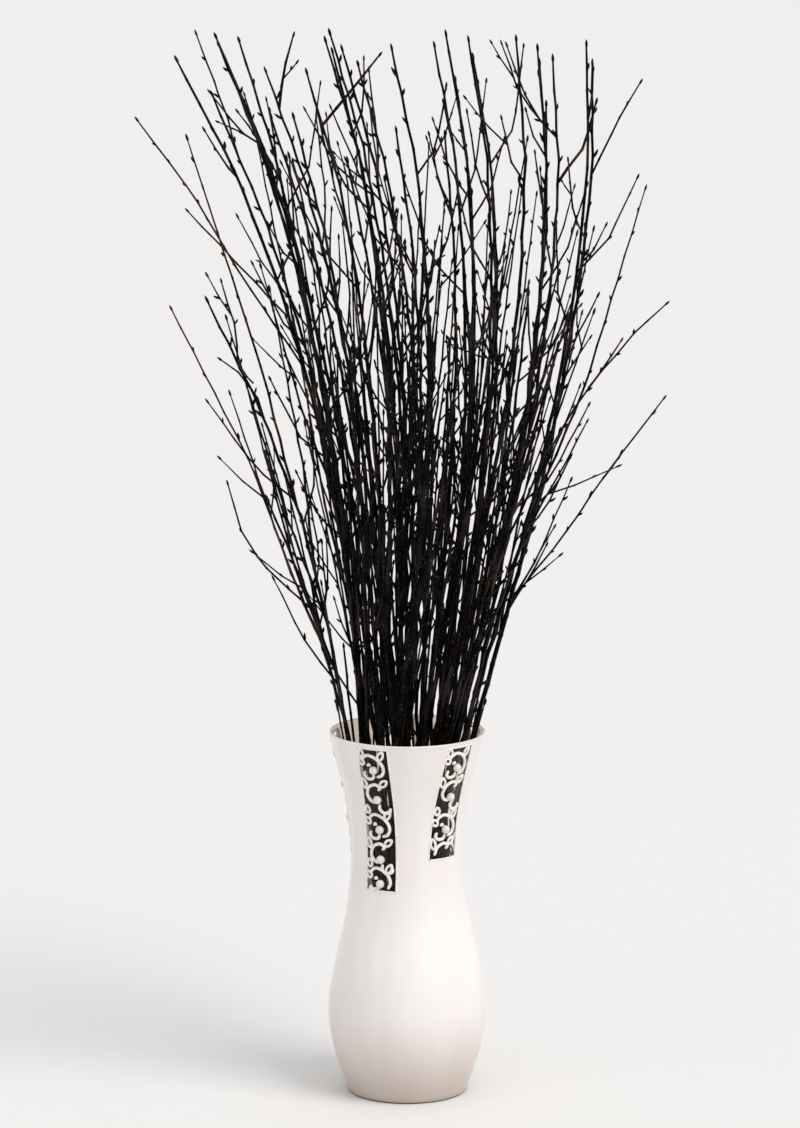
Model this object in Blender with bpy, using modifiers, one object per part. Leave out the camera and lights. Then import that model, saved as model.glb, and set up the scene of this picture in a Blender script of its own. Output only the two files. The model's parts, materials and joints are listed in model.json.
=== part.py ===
"""A coated glass vase with windows of scrollwork, holding a bundle of black birch branches.

Metres, +Z up. The origin is the centre of the vase's flat foot, and the front is towards -Y.
"""

import math

import bmesh
import bpy
import numpy as np

# The vase: (height, outer radius) down the wall
VASE_HEIGHT = 0.300
WALL = (
    (0.000, 0.0490),
    (0.012, 0.0530),
    (0.036, 0.0605),
    (0.068, 0.0648),
    (0.106, 0.0595),
    (0.150, 0.0503),
    (0.197, 0.0460),
    (0.243, 0.0495),
    (0.277, 0.0576),
    (0.300, 0.0635),
)
GLASS = 0.0030
RIM_GLASS = 0.0022
FLOOR = 0.0085
FOOT_EDGE = 0.0012
FLOOR_CORNER = 0.002
LIP = 0.0010
OUTER_LEVELS = (0.003, 0.016, 0.042, 0.070, 0.098, 0.138, 0.180, 0.222, 0.252, 0.278)
INNER_LEVELS = (0.016, 0.045, 0.090, 0.140, 0.205, 0.255)
TURNED_STEPS = 32
TURNED_WELD = 0.00001

# The windows in the coat, from the front and clockwise seen from above: azimuth at the top and at
# the bottom in degrees, and the height of the bottom edge
COAT = 0.0005
WINDOW_WIDTH = 0.028
WINDOW_TOP = 0.2965
LONG_BOTTOM = 0.176
SHORT_BOTTOM = 0.2015
WINDOWS = (
    (-28.0, -28.0, LONG_BOTTOM),
    (44.0, 39.0, SHORT_BOTTOM),
    (116.0, 116.0, LONG_BOTTOM),
    (188.0, 186.0, SHORT_BOTTOM),
    (-100.0, -100.0, SHORT_BOTTOM),
)
CUTTER_REACH = 0.004
CUTTER_ROW = 0.012
CUTTER_COLUMNS = 4

# The scrollwork of a window: how far below the window's top each pearl lies, and a motif's points
# as (across, down) from its pearl. The last motif of a short window is cut off by the border.
SEAT_GAP = 0.0005
BORDER_WIDTH = 0.0015
BORDER_HEIGHT = 0.0010
BORDER_ROW = 0.024
BORDER_COLUMNS = 4
STROKE_WIDTH = 0.0026
STROKE_HEIGHT = 0.0015
PEARL_RADIUS = 0.0036
PEARL_SIDES = 6
PEARL_RINGS = 4
PEARL_FLATTENED = 0.9
LONG_DROPS = (0.0185, 0.0440, 0.0695, 0.0945, 0.1145)
SHORT_DROPS = (0.0180, 0.0430, 0.0705)
SHORT_CUT_DROP = 0.0950
ARC = ((-0.0085, -0.0088), (-0.0020, -0.0118), (0.0068, -0.0080), (0.0092, 0.0015), (0.0010, 0.0042))
HOOK = ((-0.0078, 0.0034), (-0.0056, 0.0090), (0.0022, 0.0050))
LEFT_LEAF = ((-0.0080, -0.0080), (-0.0130, -0.0140))
RIGHT_LEAF = ((0.0080, -0.0050), (0.0130, -0.0115))

# The bundle: it is drawn in near the vase's waist and fans out above the rim
SEED = 41
BUNDLE_FOOT = 0.0095
BUNDLE_TOP = 0.870
FOOT_SPREAD = 0.036
TOP_SPREAD = 0.170
TWIST = math.radians(-127)
LEAN = (
    (0.000, 0.000),
    (0.300, 0.006),
    (0.500, 0.018),
    (0.660, 0.013),
    (0.765, 0.000),
    (0.870, -0.026),
)
EYE_DISTANCE = 3.6
EYE_HEIGHT = 1.08
STEM_SPACING = 0.25
SPACING_ROUNDS = 400
PUSH_SHARE = 0.3
PUSH_ACROSS = 0.2
NEAR = 0.012
CLEAR = 0.0009
GLASS_CLEAR = 0.0006
ABOVE_RIM = 0.002
WAIST = 0.155

# Stems at the edges of the bundle: (x, y) at the rim, (x, y, z) of the tip, radius at the foot
EDGE_STEMS = (
    ((-0.035, -0.006), (-0.183, -0.030, 0.847), 0.0025),
    ((0.054, -0.004), (0.145, -0.020, 0.844), 0.0026),
    ((-0.034, 0.016), (-0.136, 0.050, 0.857), 0.0024),
    ((-0.050, 0.011), (-0.115, 0.030, 0.489), 0.0015),
    ((-0.049, -0.011), (-0.160, -0.040, 0.659), 0.0019),
    ((-0.045, 0.002), (-0.052, 0.008, 0.371), 0.0014),
)
# Tips along the top and the sides as seen from the front, (x, z), and how stout the stem is
TOP_TIPS = (
    (-0.166, 0.790, 0.9),
    (-0.161, 0.817, 0.9),
    (-0.155, 0.863, 1.0),
    (-0.143, 0.857, 0.9),
    (-0.124, 0.836, 1.0),
    (-0.119, 0.802, 0.9),
    (-0.106, 0.800, 1.0),
    (-0.088, 0.867, 0.9),
    (-0.081, 0.836, 0.9),
    (-0.069, 0.861, 0.9),
    (-0.063, 0.852, 1.2),
    (-0.054, 0.842, 1.0),
    (-0.038, 0.854, 0.9),
    (-0.020, 0.790, 1.0),
    (-0.007, 0.855, 1.0),
    (0.012, 0.857, 1.1),
    (0.033, 0.830, 0.9),
    (0.035, 0.865, 1.2),
    (0.053, 0.861, 1.0),
    (0.064, 0.847, 0.9),
    (0.082, 0.862, 1.2),
    (0.096, 0.855, 1.0),
    (0.110, 0.843, 1.2),
    (0.118, 0.847, 0.9),
    (0.121, 0.810, 1.0),
    (0.136, 0.857, 1.1),
)
DISC_EDGE = 0.98
GOLDEN = 0.618
DEEP_FROM = 0.3
# Stems that end lower, inside the fan
INNER_STEMS = 14
INNER_LOWEST = 0.560
INNER_HIGHEST = 0.800
INNER_ACROSS = 0.80
INNER_STOUT = 0.95
FOOT_RADIUS = 0.0021
TIP_RADIUS = 0.0008
BEND = 0.010
STEM_NODE = 0.095

# Side twigs that show at the edges: parent, height of the root, then points (x, y, z) out to the tip
SHOWN_TWIGS = (
    (0, 0.318, ((-0.055, -0.004, 0.343), (-0.081, -0.005, 0.398),
                (-0.126, -0.012, 0.522), (-0.189, -0.020, 0.649))),
    (0, 0.600, ((-0.132, -0.045, 0.677), (-0.169, -0.050, 0.741), (-0.213, -0.055, 0.801))),
    (0, 0.640, ((-0.142, -0.022, 0.690), (-0.176, -0.020, 0.726))),
    (1, 0.396, ((0.092, -0.020, 0.422), (0.124, -0.030, 0.464),
                (0.155, -0.035, 0.512), (0.205, -0.040, 0.580))),
    (1, 0.450, ((0.101, 0.004, 0.474), (0.123, 0.012, 0.509), (0.146, 0.018, 0.553))),
    (1, 0.508, ((0.118, -0.022, 0.543), (0.146, -0.030, 0.588),
                (0.182, -0.032, 0.631), (0.207, -0.034, 0.654))),
    (1, 0.562, ((0.122, 0.000, 0.583), (0.148, 0.010, 0.622))),
    (1, 0.600, ((0.132, -0.024, 0.620), (0.152, -0.030, 0.661))),
    (1, 0.752, ((0.167, -0.028, 0.799), (0.184, -0.034, 0.829))),
    (4, 0.560, ((-0.122, -0.045, 0.590), (-0.150, -0.055, 0.612))),
    (2, 0.740, ((-0.118, 0.048, 0.772), (-0.138, 0.040, 0.800))),
)
# A twig on a twig: number of the shown twig, share of its length, then points
TWIGS_ON_TWIGS = (
    (0, 0.27, ((-0.105, -0.020, 0.428), (-0.130, -0.030, 0.460), (-0.144, -0.034, 0.511))),
    (3, 0.10, ((0.100, -0.032, 0.436), (0.112, -0.040, 0.462))),
    (5, 0.52, ((0.158, -0.042, 0.606), (0.170, -0.048, 0.627))),
)

# Side twigs that follow the rule
TWIG_ROUNDS = 3
TWIG_TRIES = 14
TWIG_LOWEST = 0.350
TWIG_BELOW_TIP = (0.030, 0.42)
TWIG_SHARES = (0.1, 0.9)
TWIG_SHORTENS = 0.5
TWIG_LENGTHS = (0.045, 0.120)
TWIG_RUNS = (0.36, 0.64)
TWIG_STRAIGHTENS = 0.42
TWIG_LEAVES_AT = (math.radians(30), math.radians(48))
TWIG_RADIUS = 0.0009
TWIG_END_RADIUS = 0.0007
DIRECTION_STEP = 0.02
SAMPLE_STEP = 0.002
ROOT_ZONE = 0.012

# Buds: one at each tip, and one on the side of each stem below its tip
BUD_LENGTH = 0.0085
BUD_RADIUS = 0.0017
BUD_ROOT_RADIUS = 0.0010
BUD_TIP_RADIUS = 0.0004
BUD_WIDEST = 0.55
BUD_LEANS = math.radians(32)
BUD_BELOW_TIP = 0.028

STEM_SIDES = 4
TWIG_SIDES = 3
CAP_WELD = 0.000001

BARK = ((0.012, 0.008, 0.007), 0.38)
COATED_GLASS = ((0.82, 0.78, 0.74), 0.16)
RELIEF = ((0.86, 0.83, 0.79), 0.30)


# Curves and the wall


def through(points, at):
    """The height of a smooth curve through (x, y) points."""
    xs = [p[0] for p in points]
    ys = [p[1] for p in points]
    slopes = np.gradient(ys, xs)
    k = int(np.clip(np.searchsorted(xs, at) - 1, 0, len(xs) - 2))
    span = xs[k + 1] - xs[k]
    s = (at - xs[k]) / span
    rise = (2 * s**3 - 3 * s**2 + 1) * ys[k] + (3 * s**2 - 2 * s**3) * ys[k + 1]
    return float(rise + span * ((s**3 - 2 * s**2 + s) * slopes[k] + (s**3 - s**2) * slopes[k + 1]))


def wall(z):
    return through(WALL, z)


def inner_wall(z):
    return wall(z) - (GLASS + (RIM_GLASS - GLASS) * z / VASE_HEIGHT)


def inner_outline():
    """The inside of the glass as (height, radius), from the floor's edge up to the lip."""
    lip = VASE_HEIGHT - LIP
    heights = (*INNER_LEVELS, lip)
    return [(FLOOR, inner_wall(FLOOR) - FLOOR_CORNER)] + [(z, inner_wall(z)) for z in heights]


def inside_radius(z):
    """How far from the axis the flat-sided inside of the glass lets things stand."""
    heights, radii = zip(*inner_outline())
    return np.interp(z, heights, radii) * math.cos(math.pi / TURNED_STEPS)


def on_wall(window, across, z, outward):
    """A point over the outer wall, `across` from the window's middle line."""
    top, bottom, bottom_z = window
    share = (WINDOW_TOP - z) / (WINDOW_TOP - bottom_z)
    radius = wall(z)
    angle = math.radians(top + (bottom - top) * share) + across / radius
    reach = radius + outward
    return (reach * math.sin(angle), -reach * math.cos(angle), z)


# Where the branches run. A plan position is a complex number, x + iy.


def spread(z):
    """How the unit disc lies at a height: turned and drawn in low down, wide open at the top."""
    t = (z - BUNDLE_FOOT) / (BUNDLE_TOP - BUNDLE_FOOT)
    return (1 - t) * FOOT_SPREAD * np.exp(1j * TWIST) + t * TOP_SPREAD


def lean(z):
    return through(LEAN, z)


def as_placed(x, z, depth):
    """A point seen from the front at (x, z) in the plane of the axis, moved to its depth."""
    scale = 1 + depth / EYE_DISTANCE
    return x * scale, EYE_HEIGHT - (EYE_HEIGHT - z) * scale


def spaced(places, fixed):
    """The places in the unit disc, moved apart, mostly in depth, and kept in the disc."""
    for _ in range(SPACING_ROUNDS):
        away = places[:, None] - places[None, :]
        distance = np.abs(away) + np.eye(len(places))
        push = np.where(distance < STEM_SPACING, (STEM_SPACING - distance) / distance, 0) * away
        shift = push.sum(axis=1) * PUSH_SHARE
        shift[:fixed] = 0
        places = places + PUSH_ACROSS * shift.real + 1j * shift.imag
        radius = np.abs(places)
        radius[:fixed] = 0
        places = places / np.maximum(radius, 1)
    return places


class Thicket:
    """The wood placed so far, as round-ended rods."""

    def __init__(self):
        self.starts = np.zeros((0, 3))
        self.ends = np.zeros((0, 3))
        self.radii = np.zeros(0)
        self.owners = np.zeros(0, int)

    def add(self, points, radii, owner):
        points = np.asarray(points)
        self.starts = np.vstack([self.starts, points[:-1]])
        self.ends = np.vstack([self.ends, points[1:]])
        self.radii = np.append(self.radii, np.maximum(radii[:-1], radii[1:]))
        self.owners = np.append(self.owners, np.full(len(points) - 1, owner))

    def room(self, points, radii, skip_owner=None):
        """The smallest gap between a new rod and the rods placed."""
        samples, thickness = sampled(points, radii)
        low = samples.min(axis=0) - NEAR
        high = samples.max(axis=0) + NEAR
        near = (np.maximum(self.starts, self.ends) > low).all(axis=1)
        near &= (np.minimum(self.starts, self.ends) < high).all(axis=1)
        if skip_owner is not None:
            near &= self.owners != skip_owner
        if not near.any():
            return NEAR
        start = self.starts[near][None]
        run = self.ends[near][None] - start
        to = samples[:, None] - start
        share = np.clip((to * run).sum(2) / (run * run).sum(2), 0, 1)
        distance = np.linalg.norm(to - share[..., None] * run, axis=2)
        return float((distance - self.radii[near][None] - thickness[:, None]).min())


def sampled(points, radii):
    """Points every few millimetres along a path, with the radius at each."""
    points = np.asarray(points)
    steps = np.linalg.norm(np.diff(points, axis=0), axis=1)
    along = np.append(0, np.cumsum(steps))
    at = np.linspace(0, along[-1], max(2, int(along[-1] / SAMPLE_STEP)))
    places = np.stack([np.interp(at, along, points[:, k]) for k in range(3)], axis=1)
    return places, np.interp(at, along, radii)


def in_glass(points, radii):
    """Whether a path keeps off the inside of the vase and its rim."""
    samples, thickness = sampled(points, radii)
    low = samples[:, 2] < VASE_HEIGHT + ABOVE_RIM
    reach = np.hypot(samples[low, 0], samples[low, 1]) + thickness[low]
    return bool((reach <= inside_radius(samples[low, 2]) - GLASS_CLEAR).all())


def stem_heights(tip_z):
    """Heights of a stem's points: the foot, the waist, the rim, then evenly to the tip."""
    count = max(1, round((tip_z - VASE_HEIGHT) / STEM_NODE))
    above = [VASE_HEIGHT + (tip_z - VASE_HEIGHT) * k / count for k in range(1, count + 1)]
    return [BUNDLE_FOOT, WAIST, VASE_HEIGHT] + above


def stem_path(place, flare, tip_z):
    """The points of a stem that starts at a place in the disc and flares by the tip."""
    points = []
    for z in stem_heights(tip_z):
        share = max(0, (z - VASE_HEIGHT) / (tip_z - VASE_HEIGHT))
        p = place * spread(z) + lean(z) + flare * share**2
        points.append((p.real, p.imag, z))
    return np.array(points)


def tapered(points, foot, tip):
    """Radii that fall evenly along a path."""
    steps = np.linalg.norm(np.diff(points, axis=0), axis=1)
    along = np.append(0, np.cumsum(steps)) / steps.sum()
    return foot + (tip - foot) * along


def disc_places():
    """The tip, the foot radius and the place in the disc of each stem but the edge ones."""
    rows = [(x, z, stout * FOOT_RADIUS) for x, z, stout in TOP_TIPS]
    for k in range(INNER_STEMS):
        share = (k + 0.5) / INNER_STEMS
        z = INNER_LOWEST + (INNER_HIGHEST - INNER_LOWEST) * ((k * GOLDEN) % 1)
        x = lean(z) + (2 * share - 1) * INNER_ACROSS * abs(spread(z))
        rows.append((x, z, INNER_STOUT * FOOT_RADIUS))
    rows.sort()
    places = []
    for k, (x, z, _) in enumerate(rows):
        across = np.clip((x - lean(z)) / abs(spread(z)), -DISC_EDGE, DISC_EDGE)
        deep = 2 * ((k * GOLDEN + DEEP_FROM) % 1) - 1
        places.append(across + 1j * deep * math.sqrt(1 - across**2))
    return rows, np.array(places)


def grow_stems(thicket, rng):
    """Each stem as (points, radii)."""
    stems = []
    fixed = []
    for (rim_x, rim_y), (x, y, z), radius in EDGE_STEMS:
        place = (rim_x + 1j * rim_y - lean(VASE_HEIGHT)) / spread(VASE_HEIGHT)
        fixed.append(place)
        flare = x + 1j * y - place * spread(z) - lean(z)
        points = stem_path(place, flare, z)
        stems.append((points, tapered(points, radius, TIP_RADIUS)))
    rows, free = disc_places()
    places = spaced(np.append(np.array(fixed), free), len(fixed))[len(fixed):]
    for number, (points, radii) in enumerate(stems):
        thicket.add(points, radii, number)
    for (x_seen, z_seen, radius), place in zip(rows, places):
        for attempt in range(TWIG_TRIES):
            size = BEND * (1 - attempt / (TWIG_TRIES - 1))
            bend = size * (rng.uniform(-1, 1) + 1j * rng.uniform(-1, 1))
            depth = (place * spread(z_seen)).imag
            z = as_placed(x_seen, z_seen, depth)[1]
            points = stem_path(place, bend, z)
            radii = tapered(points, radius, TIP_RADIUS)
            if thicket.room(points, radii) > CLEAR and in_glass(points, radii):
                break
        thicket.add(points, radii, len(stems))
        stems.append((points, radii))
    return stems


def at_height(points, z):
    """The point where a rising path passes a height."""
    return np.array([np.interp(z, points[:, 2], points[:, k]) for k in range(3)])


def curved_twig(root, way, up, length, leaves_at):
    """A twig that leaves at an angle and bends up to run along the stem."""
    points = [root]
    angle = leaves_at
    for share in TWIG_RUNS:
        step = math.cos(angle) * up + math.sin(angle) * way
        points.append(points[-1] + share * length * step)
        angle *= TWIG_STRAIGHTENS
    return np.array(points)


def twig_fits(thicket, points, radii, parent):
    """Whether a twig is clear of all wood, and past its root also of the wood that it grows from."""
    if not in_glass(points, radii) or points[:, 2].max() > BUNDLE_TOP:
        return False
    if thicket.room(points, radii, parent) < CLEAR:
        return False
    samples, thickness = sampled(points, radii)
    past = int(ROOT_ZONE / SAMPLE_STEP)
    return thicket.room(samples[past:], thickness[past:]) > CLEAR


def twig_radii(points):
    return tapered(points, TWIG_RADIUS, TWIG_END_RADIUS)


def grow_shown_twigs(thicket, stems):
    """The hand-placed twigs, each as (stem, points, radii)."""
    twigs = []
    for parent, z, way_points in SHOWN_TWIGS:
        points = np.vstack([at_height(stems[parent][0], z), np.array(way_points)])
        twigs.append((parent, points, twig_radii(points)))
    for number, share, way_points in TWIGS_ON_TWIGS:
        parent, trunk, _ = twigs[number]
        z = trunk[0, 2] + share * (trunk[-1, 2] - trunk[0, 2])
        points = np.vstack([at_height(trunk, z), np.array(way_points)])
        twigs.append((parent, points, twig_radii(points)))
    for parent, points, radii in twigs:
        thicket.add(points, radii, parent)
    return twigs


def grow_twigs(thicket, stems, rng):
    """The rule's twigs: one more on each stem in each round, turned away from what stands near."""
    twigs = []
    for turn in range(TWIG_ROUNDS):
        for parent, (trunk, _) in enumerate(stems):
            tip_z = trunk[-1, 2]
            low = max(TWIG_LOWEST, tip_z - TWIG_BELOW_TIP[1])
            high = tip_z - TWIG_BELOW_TIP[0]
            if high < low:
                continue
            for attempt in range(TWIG_TRIES):
                share = (turn + rng.uniform(*TWIG_SHARES)) / TWIG_ROUNDS
                z = high - share * (high - low)
                root = at_height(trunk, z)
                up = at_height(trunk, min(z + DIRECTION_STEP, tip_z)) - root
                up = up / np.linalg.norm(up)
                azimuth = rng.uniform(0, math.tau)
                way = np.array([math.cos(azimuth), math.sin(azimuth), 0])
                way = way - way.dot(up) * up
                way = way / np.linalg.norm(way)
                length = rng.uniform(*TWIG_LENGTHS) * (1 - TWIG_SHORTENS * attempt / TWIG_TRIES)
                leaves_at = rng.uniform(*TWIG_LEAVES_AT)
                points = curved_twig(root, way, up, length, leaves_at)
                radii = twig_radii(points)
                if twig_fits(thicket, points, radii, parent):
                    thicket.add(points, radii, parent)
                    twigs.append((parent, points, radii))
                    break
    return twigs


def bud_path(root, way):
    """A bud's points and radii: a slim spindle."""
    points = np.array([root, root + BUD_WIDEST * BUD_LENGTH * way, root + BUD_LENGTH * way])
    return points, np.array([BUD_ROOT_RADIUS, BUD_RADIUS, BUD_TIP_RADIUS])


def grow_side_buds(thicket, stems, rng):
    """A side bud below each stem's tip, pressed forward, where there is room for it."""
    buds = []
    for parent, (trunk, _) in enumerate(stems):
        azimuth = rng.uniform(0, math.tau)
        root = at_height(trunk, trunk[-1, 2] - BUD_BELOW_TIP)
        up = trunk[-1] - root
        up = up / np.linalg.norm(up)
        way = np.array([math.cos(azimuth), math.sin(azimuth), 0])
        aim = math.cos(BUD_LEANS) * up + math.sin(BUD_LEANS) * way
        points, radii = bud_path(root, aim / np.linalg.norm(aim))
        if thicket.room(points, radii, parent) > CLEAR:
            thicket.add(points, radii, parent)
            buds.append((parent, points, radii))
    return buds


def with_tip_bud(points, radii):
    """The path with its end swollen into a bud."""
    way = points[-1] - points[-2]
    way = way / np.linalg.norm(way)
    end = points[-1]
    neck = end - BUD_LENGTH * way
    belly = end - (1 - BUD_WIDEST) * BUD_LENGTH * way
    points = np.vstack([points[:-1], neck, belly, end])
    return points, np.concatenate([radii[:-1], [radii[-1], BUD_RADIUS, BUD_TIP_RADIUS]])


# Solids


def material(name, colour, roughness):
    made = bpy.data.materials.new(name)
    made.use_nodes = True
    shader = made.node_tree.nodes["Principled BSDF"]
    shader.inputs["Base Color"].default_value = (*colour, 1)
    shader.inputs["Roughness"].default_value = roughness
    shader.inputs["Metallic"].default_value = 0.0
    return made


def mesh_object(name, mesh, collection, finish=None):
    made = bpy.data.objects.new(name, mesh)
    collection.objects.link(made)
    if finish:
        mesh.materials.clear()
        mesh.materials.append(finish)
    return made


def section(name, outline, collection):
    """A closed outline that tubes take as their section."""
    curve = bpy.data.curves.new(name, "CURVE")
    curve.dimensions = "2D"
    spline = curve.splines.new("POLY")
    spline.points.add(len(outline) - 1)
    for point, (x, y) in zip(spline.points, outline):
        point.co = (x, y, 0, 1)
    spline.use_cyclic_u = True
    made = bpy.data.objects.new(name, curve)
    collection.objects.link(made)
    made.hide_render = True
    made.display_type = "WIRE"
    return made


def round_outline(sides):
    """Corners of a unit circle, clockwise, so that a tube's faces point out."""
    angles = [-math.tau * k / sides for k in range(sides)]
    return [(math.cos(a), math.sin(a)) for a in angles]


def tube_curve(points, radii, outline, collection, flat=False, closed=False):
    """A curve object of one run of straight pieces, with its ends filled."""
    curve = bpy.data.curves.new("run", "CURVE")
    curve.dimensions = "2D" if flat else "3D"
    curve.bevel_mode = "OBJECT"
    curve.bevel_object = outline
    curve.use_fill_caps = not closed
    spline = curve.splines.new("POLY")
    spline.points.add(len(points) - 1)
    for point, place, radius in zip(spline.points, points, radii):
        place = tuple(float(v) for v in place)
        point.co = (*place, 1) if len(place) == 3 else (*place, 0, 1)
        point.radius = float(radius)
    spline.use_cyclic_u = closed
    made = bpy.data.objects.new("run", curve)
    collection.objects.link(made)
    return made


def as_meshes(curves, collection):
    """Each curve object made a mesh object with its caps welded on, and the curves removed."""
    bpy.context.view_layer.update()
    graph = bpy.context.evaluated_depsgraph_get()
    made = []
    for curve in curves:
        mesh = bpy.data.meshes.new_from_object(curve.evaluated_get(graph))
        edited = bmesh.new()
        edited.from_mesh(mesh)
        bmesh.ops.remove_doubles(edited, verts=edited.verts, dist=CAP_WELD)
        if edited.calc_volume(signed=True) < 0:
            bmesh.ops.reverse_faces(edited, faces=edited.faces)
        edited.to_mesh(mesh)
        edited.free()
        solid = mesh_object("run_solid", mesh, collection)
        solid.matrix_world = curve.matrix_world
        made.append(solid)
    for curve in curves:
        bpy.data.objects.remove(curve)
    return made


def fused(name, first, collection, finish, parts, solver="EXACT"):
    """The first mesh joined by one Boolean union with the collection's, as one plain object."""
    modifier = first.modifiers.new("joined", "BOOLEAN")
    modifier.operation = "UNION"
    modifier.operand_type = "COLLECTION"
    modifier.collection = collection
    modifier.solver = solver
    bpy.context.view_layer.update()
    graph = bpy.context.evaluated_depsgraph_get()
    mesh = bpy.data.meshes.new_from_object(first.evaluated_get(graph))
    mesh.name = name
    for piece in list(collection.objects):
        bpy.data.objects.remove(piece)
    bpy.data.objects.remove(first)
    return mesh_object(name, mesh, parts, finish)


def build_vase(parts, cutters, finish):
    """The turned glass with its coat, stepped in at each window."""
    lip = VASE_HEIGHT - LIP
    outline = [(0, FLOOR)] + [(r, z) for z, r in inner_outline()]
    outline += [((wall(VASE_HEIGHT) + inner_wall(VASE_HEIGHT)) / 2, VASE_HEIGHT)]
    outline += [(wall(lip), lip)]
    outline += [(wall(z), z) for z in reversed(OUTER_LEVELS)]
    outline += [(wall(0) - FOOT_EDGE, 0), (0, 0)]
    mesh = bpy.data.meshes.new("vase")
    edges = [(k, k + 1) for k in range(len(outline) - 1)]
    mesh.from_pydata([(r, 0, z) for r, z in outline], edges, [])
    vase = mesh_object("vase", mesh, parts, finish)
    turn = vase.modifiers.new("turned", "SCREW")
    turn.steps = TURNED_STEPS
    turn.render_steps = TURNED_STEPS
    turn.use_merge_vertices = True
    turn.merge_threshold = TURNED_WELD
    for number, window in enumerate(WINDOWS, 1):
        window_cutter(f"window_{number}_cutter", window, cutters)
    cut = vase.modifiers.new("windows", "BOOLEAN")
    cut.operation = "DIFFERENCE"
    cut.operand_type = "COLLECTION"
    cut.collection = cutters
    cut.solver = "EXACT"
    return vase


def window_cutter(name, window, cutters):
    """A curved slab that takes the coat off one window."""
    bottom = window[2]
    rows = round((WINDOW_TOP - bottom) / CUTTER_ROW)
    mesh = bpy.data.meshes.new(name)
    edited = bmesh.new()
    bmesh.ops.create_grid(edited, x_segments=CUTTER_COLUMNS, y_segments=rows, size=0.5)
    for vertex in edited.verts:
        z = bottom + (vertex.co.y + 0.5) * (WINDOW_TOP - bottom)
        vertex.co = on_wall(window, vertex.co.x * WINDOW_WIDTH, z, -COAT)
    bmesh.ops.recalc_face_normals(edited, faces=edited.faces)
    edited.faces.ensure_lookup_table()
    sample = edited.faces[0]
    if sample.normal.xy.dot(sample.calc_center_median().xy) < 0:
        bmesh.ops.reverse_faces(edited, faces=edited.faces)
    edited.to_mesh(mesh)
    edited.free()
    cutter = mesh_object(name, mesh, cutters)
    shell = cutter.modifiers.new("slab", "SOLIDIFY")
    shell.thickness = CUTTER_REACH
    shell.offset = 1
    cutter.hide_render = True
    cutter.display_type = "WIRE"


def border_points(length):
    """The middle line of a window's border, laid flat, (across, down)."""
    side = WINDOW_WIDTH / 2 - BORDER_WIDTH / 2 - SEAT_GAP
    near = BORDER_WIDTH / 2 + SEAT_GAP
    far = length - near
    rows = max(2, round(length / BORDER_ROW))
    down = [near + (far - near) * k / rows for k in range(rows)]
    across = [-side + 2 * side * k / BORDER_COLUMNS for k in range(BORDER_COLUMNS)]
    loop = [(-side, d) for d in down] + [(a, far) for a in across]
    return loop + [(side, near + far - d) for d in down] + [(-a, near) for a in across]


def motif_strokes(pearl, turn):
    """The strokes of one motif as flat points, mirrored for every second one."""
    strokes = []
    for shape in (ARC, HOOK, LEFT_LEAF, RIGHT_LEAF):
        strokes.append([(turn * a, pearl + d) for a, d in shape])
    return strokes


def build_scrollwork(number, window, parts, workshop, outlines, finish):
    """The raised border, scrolls and pearls of one window, fused flat and then bent to the wall."""
    length = WINDOW_TOP - window[2]
    border = border_points(length)
    curves = [tube_curve(border, [1] * len(border), outlines["border"], workshop, True, True)]
    pearls = LONG_DROPS if window[2] == LONG_BOTTOM else SHORT_DROPS
    motifs = pearls if pearls is LONG_DROPS else (*pearls, SHORT_CUT_DROP)
    turn = 1
    for drop in motifs:
        for stroke in motif_strokes(drop, turn):
            if max(down for _, down in stroke) < length - STROKE_WIDTH / 2:
                curves.append(tube_curve(stroke, [1] * len(stroke), outlines["stroke"], workshop, True))
        turn = -turn
    solids = as_meshes(curves, workshop)
    for pearl in pearls:
        pearl_solid(pearl, workshop)
    first = solids[0]
    workshop.objects.unlink(first)
    parts.objects.link(first)
    panel = fused(f"scrollwork_{number}", first, workshop, finish, parts, "MANIFOLD")
    for vertex in panel.data.vertices:
        across, down, height = vertex.co
        vertex.co = on_wall(window, across, WINDOW_TOP - down, SEAT_GAP - COAT + height)
    edited = bmesh.new()
    edited.from_mesh(panel.data)
    if edited.calc_volume(signed=True) < 0:
        bmesh.ops.reverse_faces(edited, faces=edited.faces)
    edited.to_mesh(panel.data)
    edited.free()
    return panel


def pearl_solid(down, workshop):
    """A half-round pearl on the flat."""
    mesh = bpy.data.meshes.new("pearl")
    edited = bmesh.new()
    segments = {"u_segments": PEARL_SIDES, "v_segments": PEARL_RINGS}
    bmesh.ops.create_uvsphere(edited, radius=PEARL_RADIUS, **segments)
    lower = [v for v in edited.verts if v.co.z < -PEARL_RADIUS / PEARL_RINGS]
    bmesh.ops.delete(edited, geom=lower, context="VERTS")
    rim = [e for e in edited.edges if e.is_boundary]
    bmesh.ops.holes_fill(edited, edges=rim)
    for vertex in edited.verts:
        vertex.co.y += down
        vertex.co.z *= PEARL_FLATTENED
    bmesh.ops.recalc_face_normals(edited, faces=edited.faces)
    edited.to_mesh(mesh)
    edited.free()
    mesh_object("pearl", mesh, workshop)


def build_branch(number, stem, twigs, buds, parts, workshop, outlines, finish):
    """One branch: its stem, twigs and buds fused into one body."""
    points, radii = with_tip_bud(*stem)
    curves = [tube_curve(points, radii, outlines["stem"], workshop)]
    for twig_points, twig_radius in twigs:
        points, radii = with_tip_bud(twig_points, twig_radius)
        curves.append(tube_curve(points, radii, outlines["twig"], workshop))
    for bud_points, bud_radii in buds:
        curves.append(tube_curve(bud_points, bud_radii, outlines["twig"], workshop))
    solids = as_meshes(curves, workshop)
    first = solids[0]
    workshop.objects.unlink(first)
    parts.objects.link(first)
    return fused(f"branch_{number:02d}", first, workshop, finish, parts)


def new_collection(name):
    made = bpy.data.collections.new(name)
    bpy.context.scene.collection.children.link(made)
    return made


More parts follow.
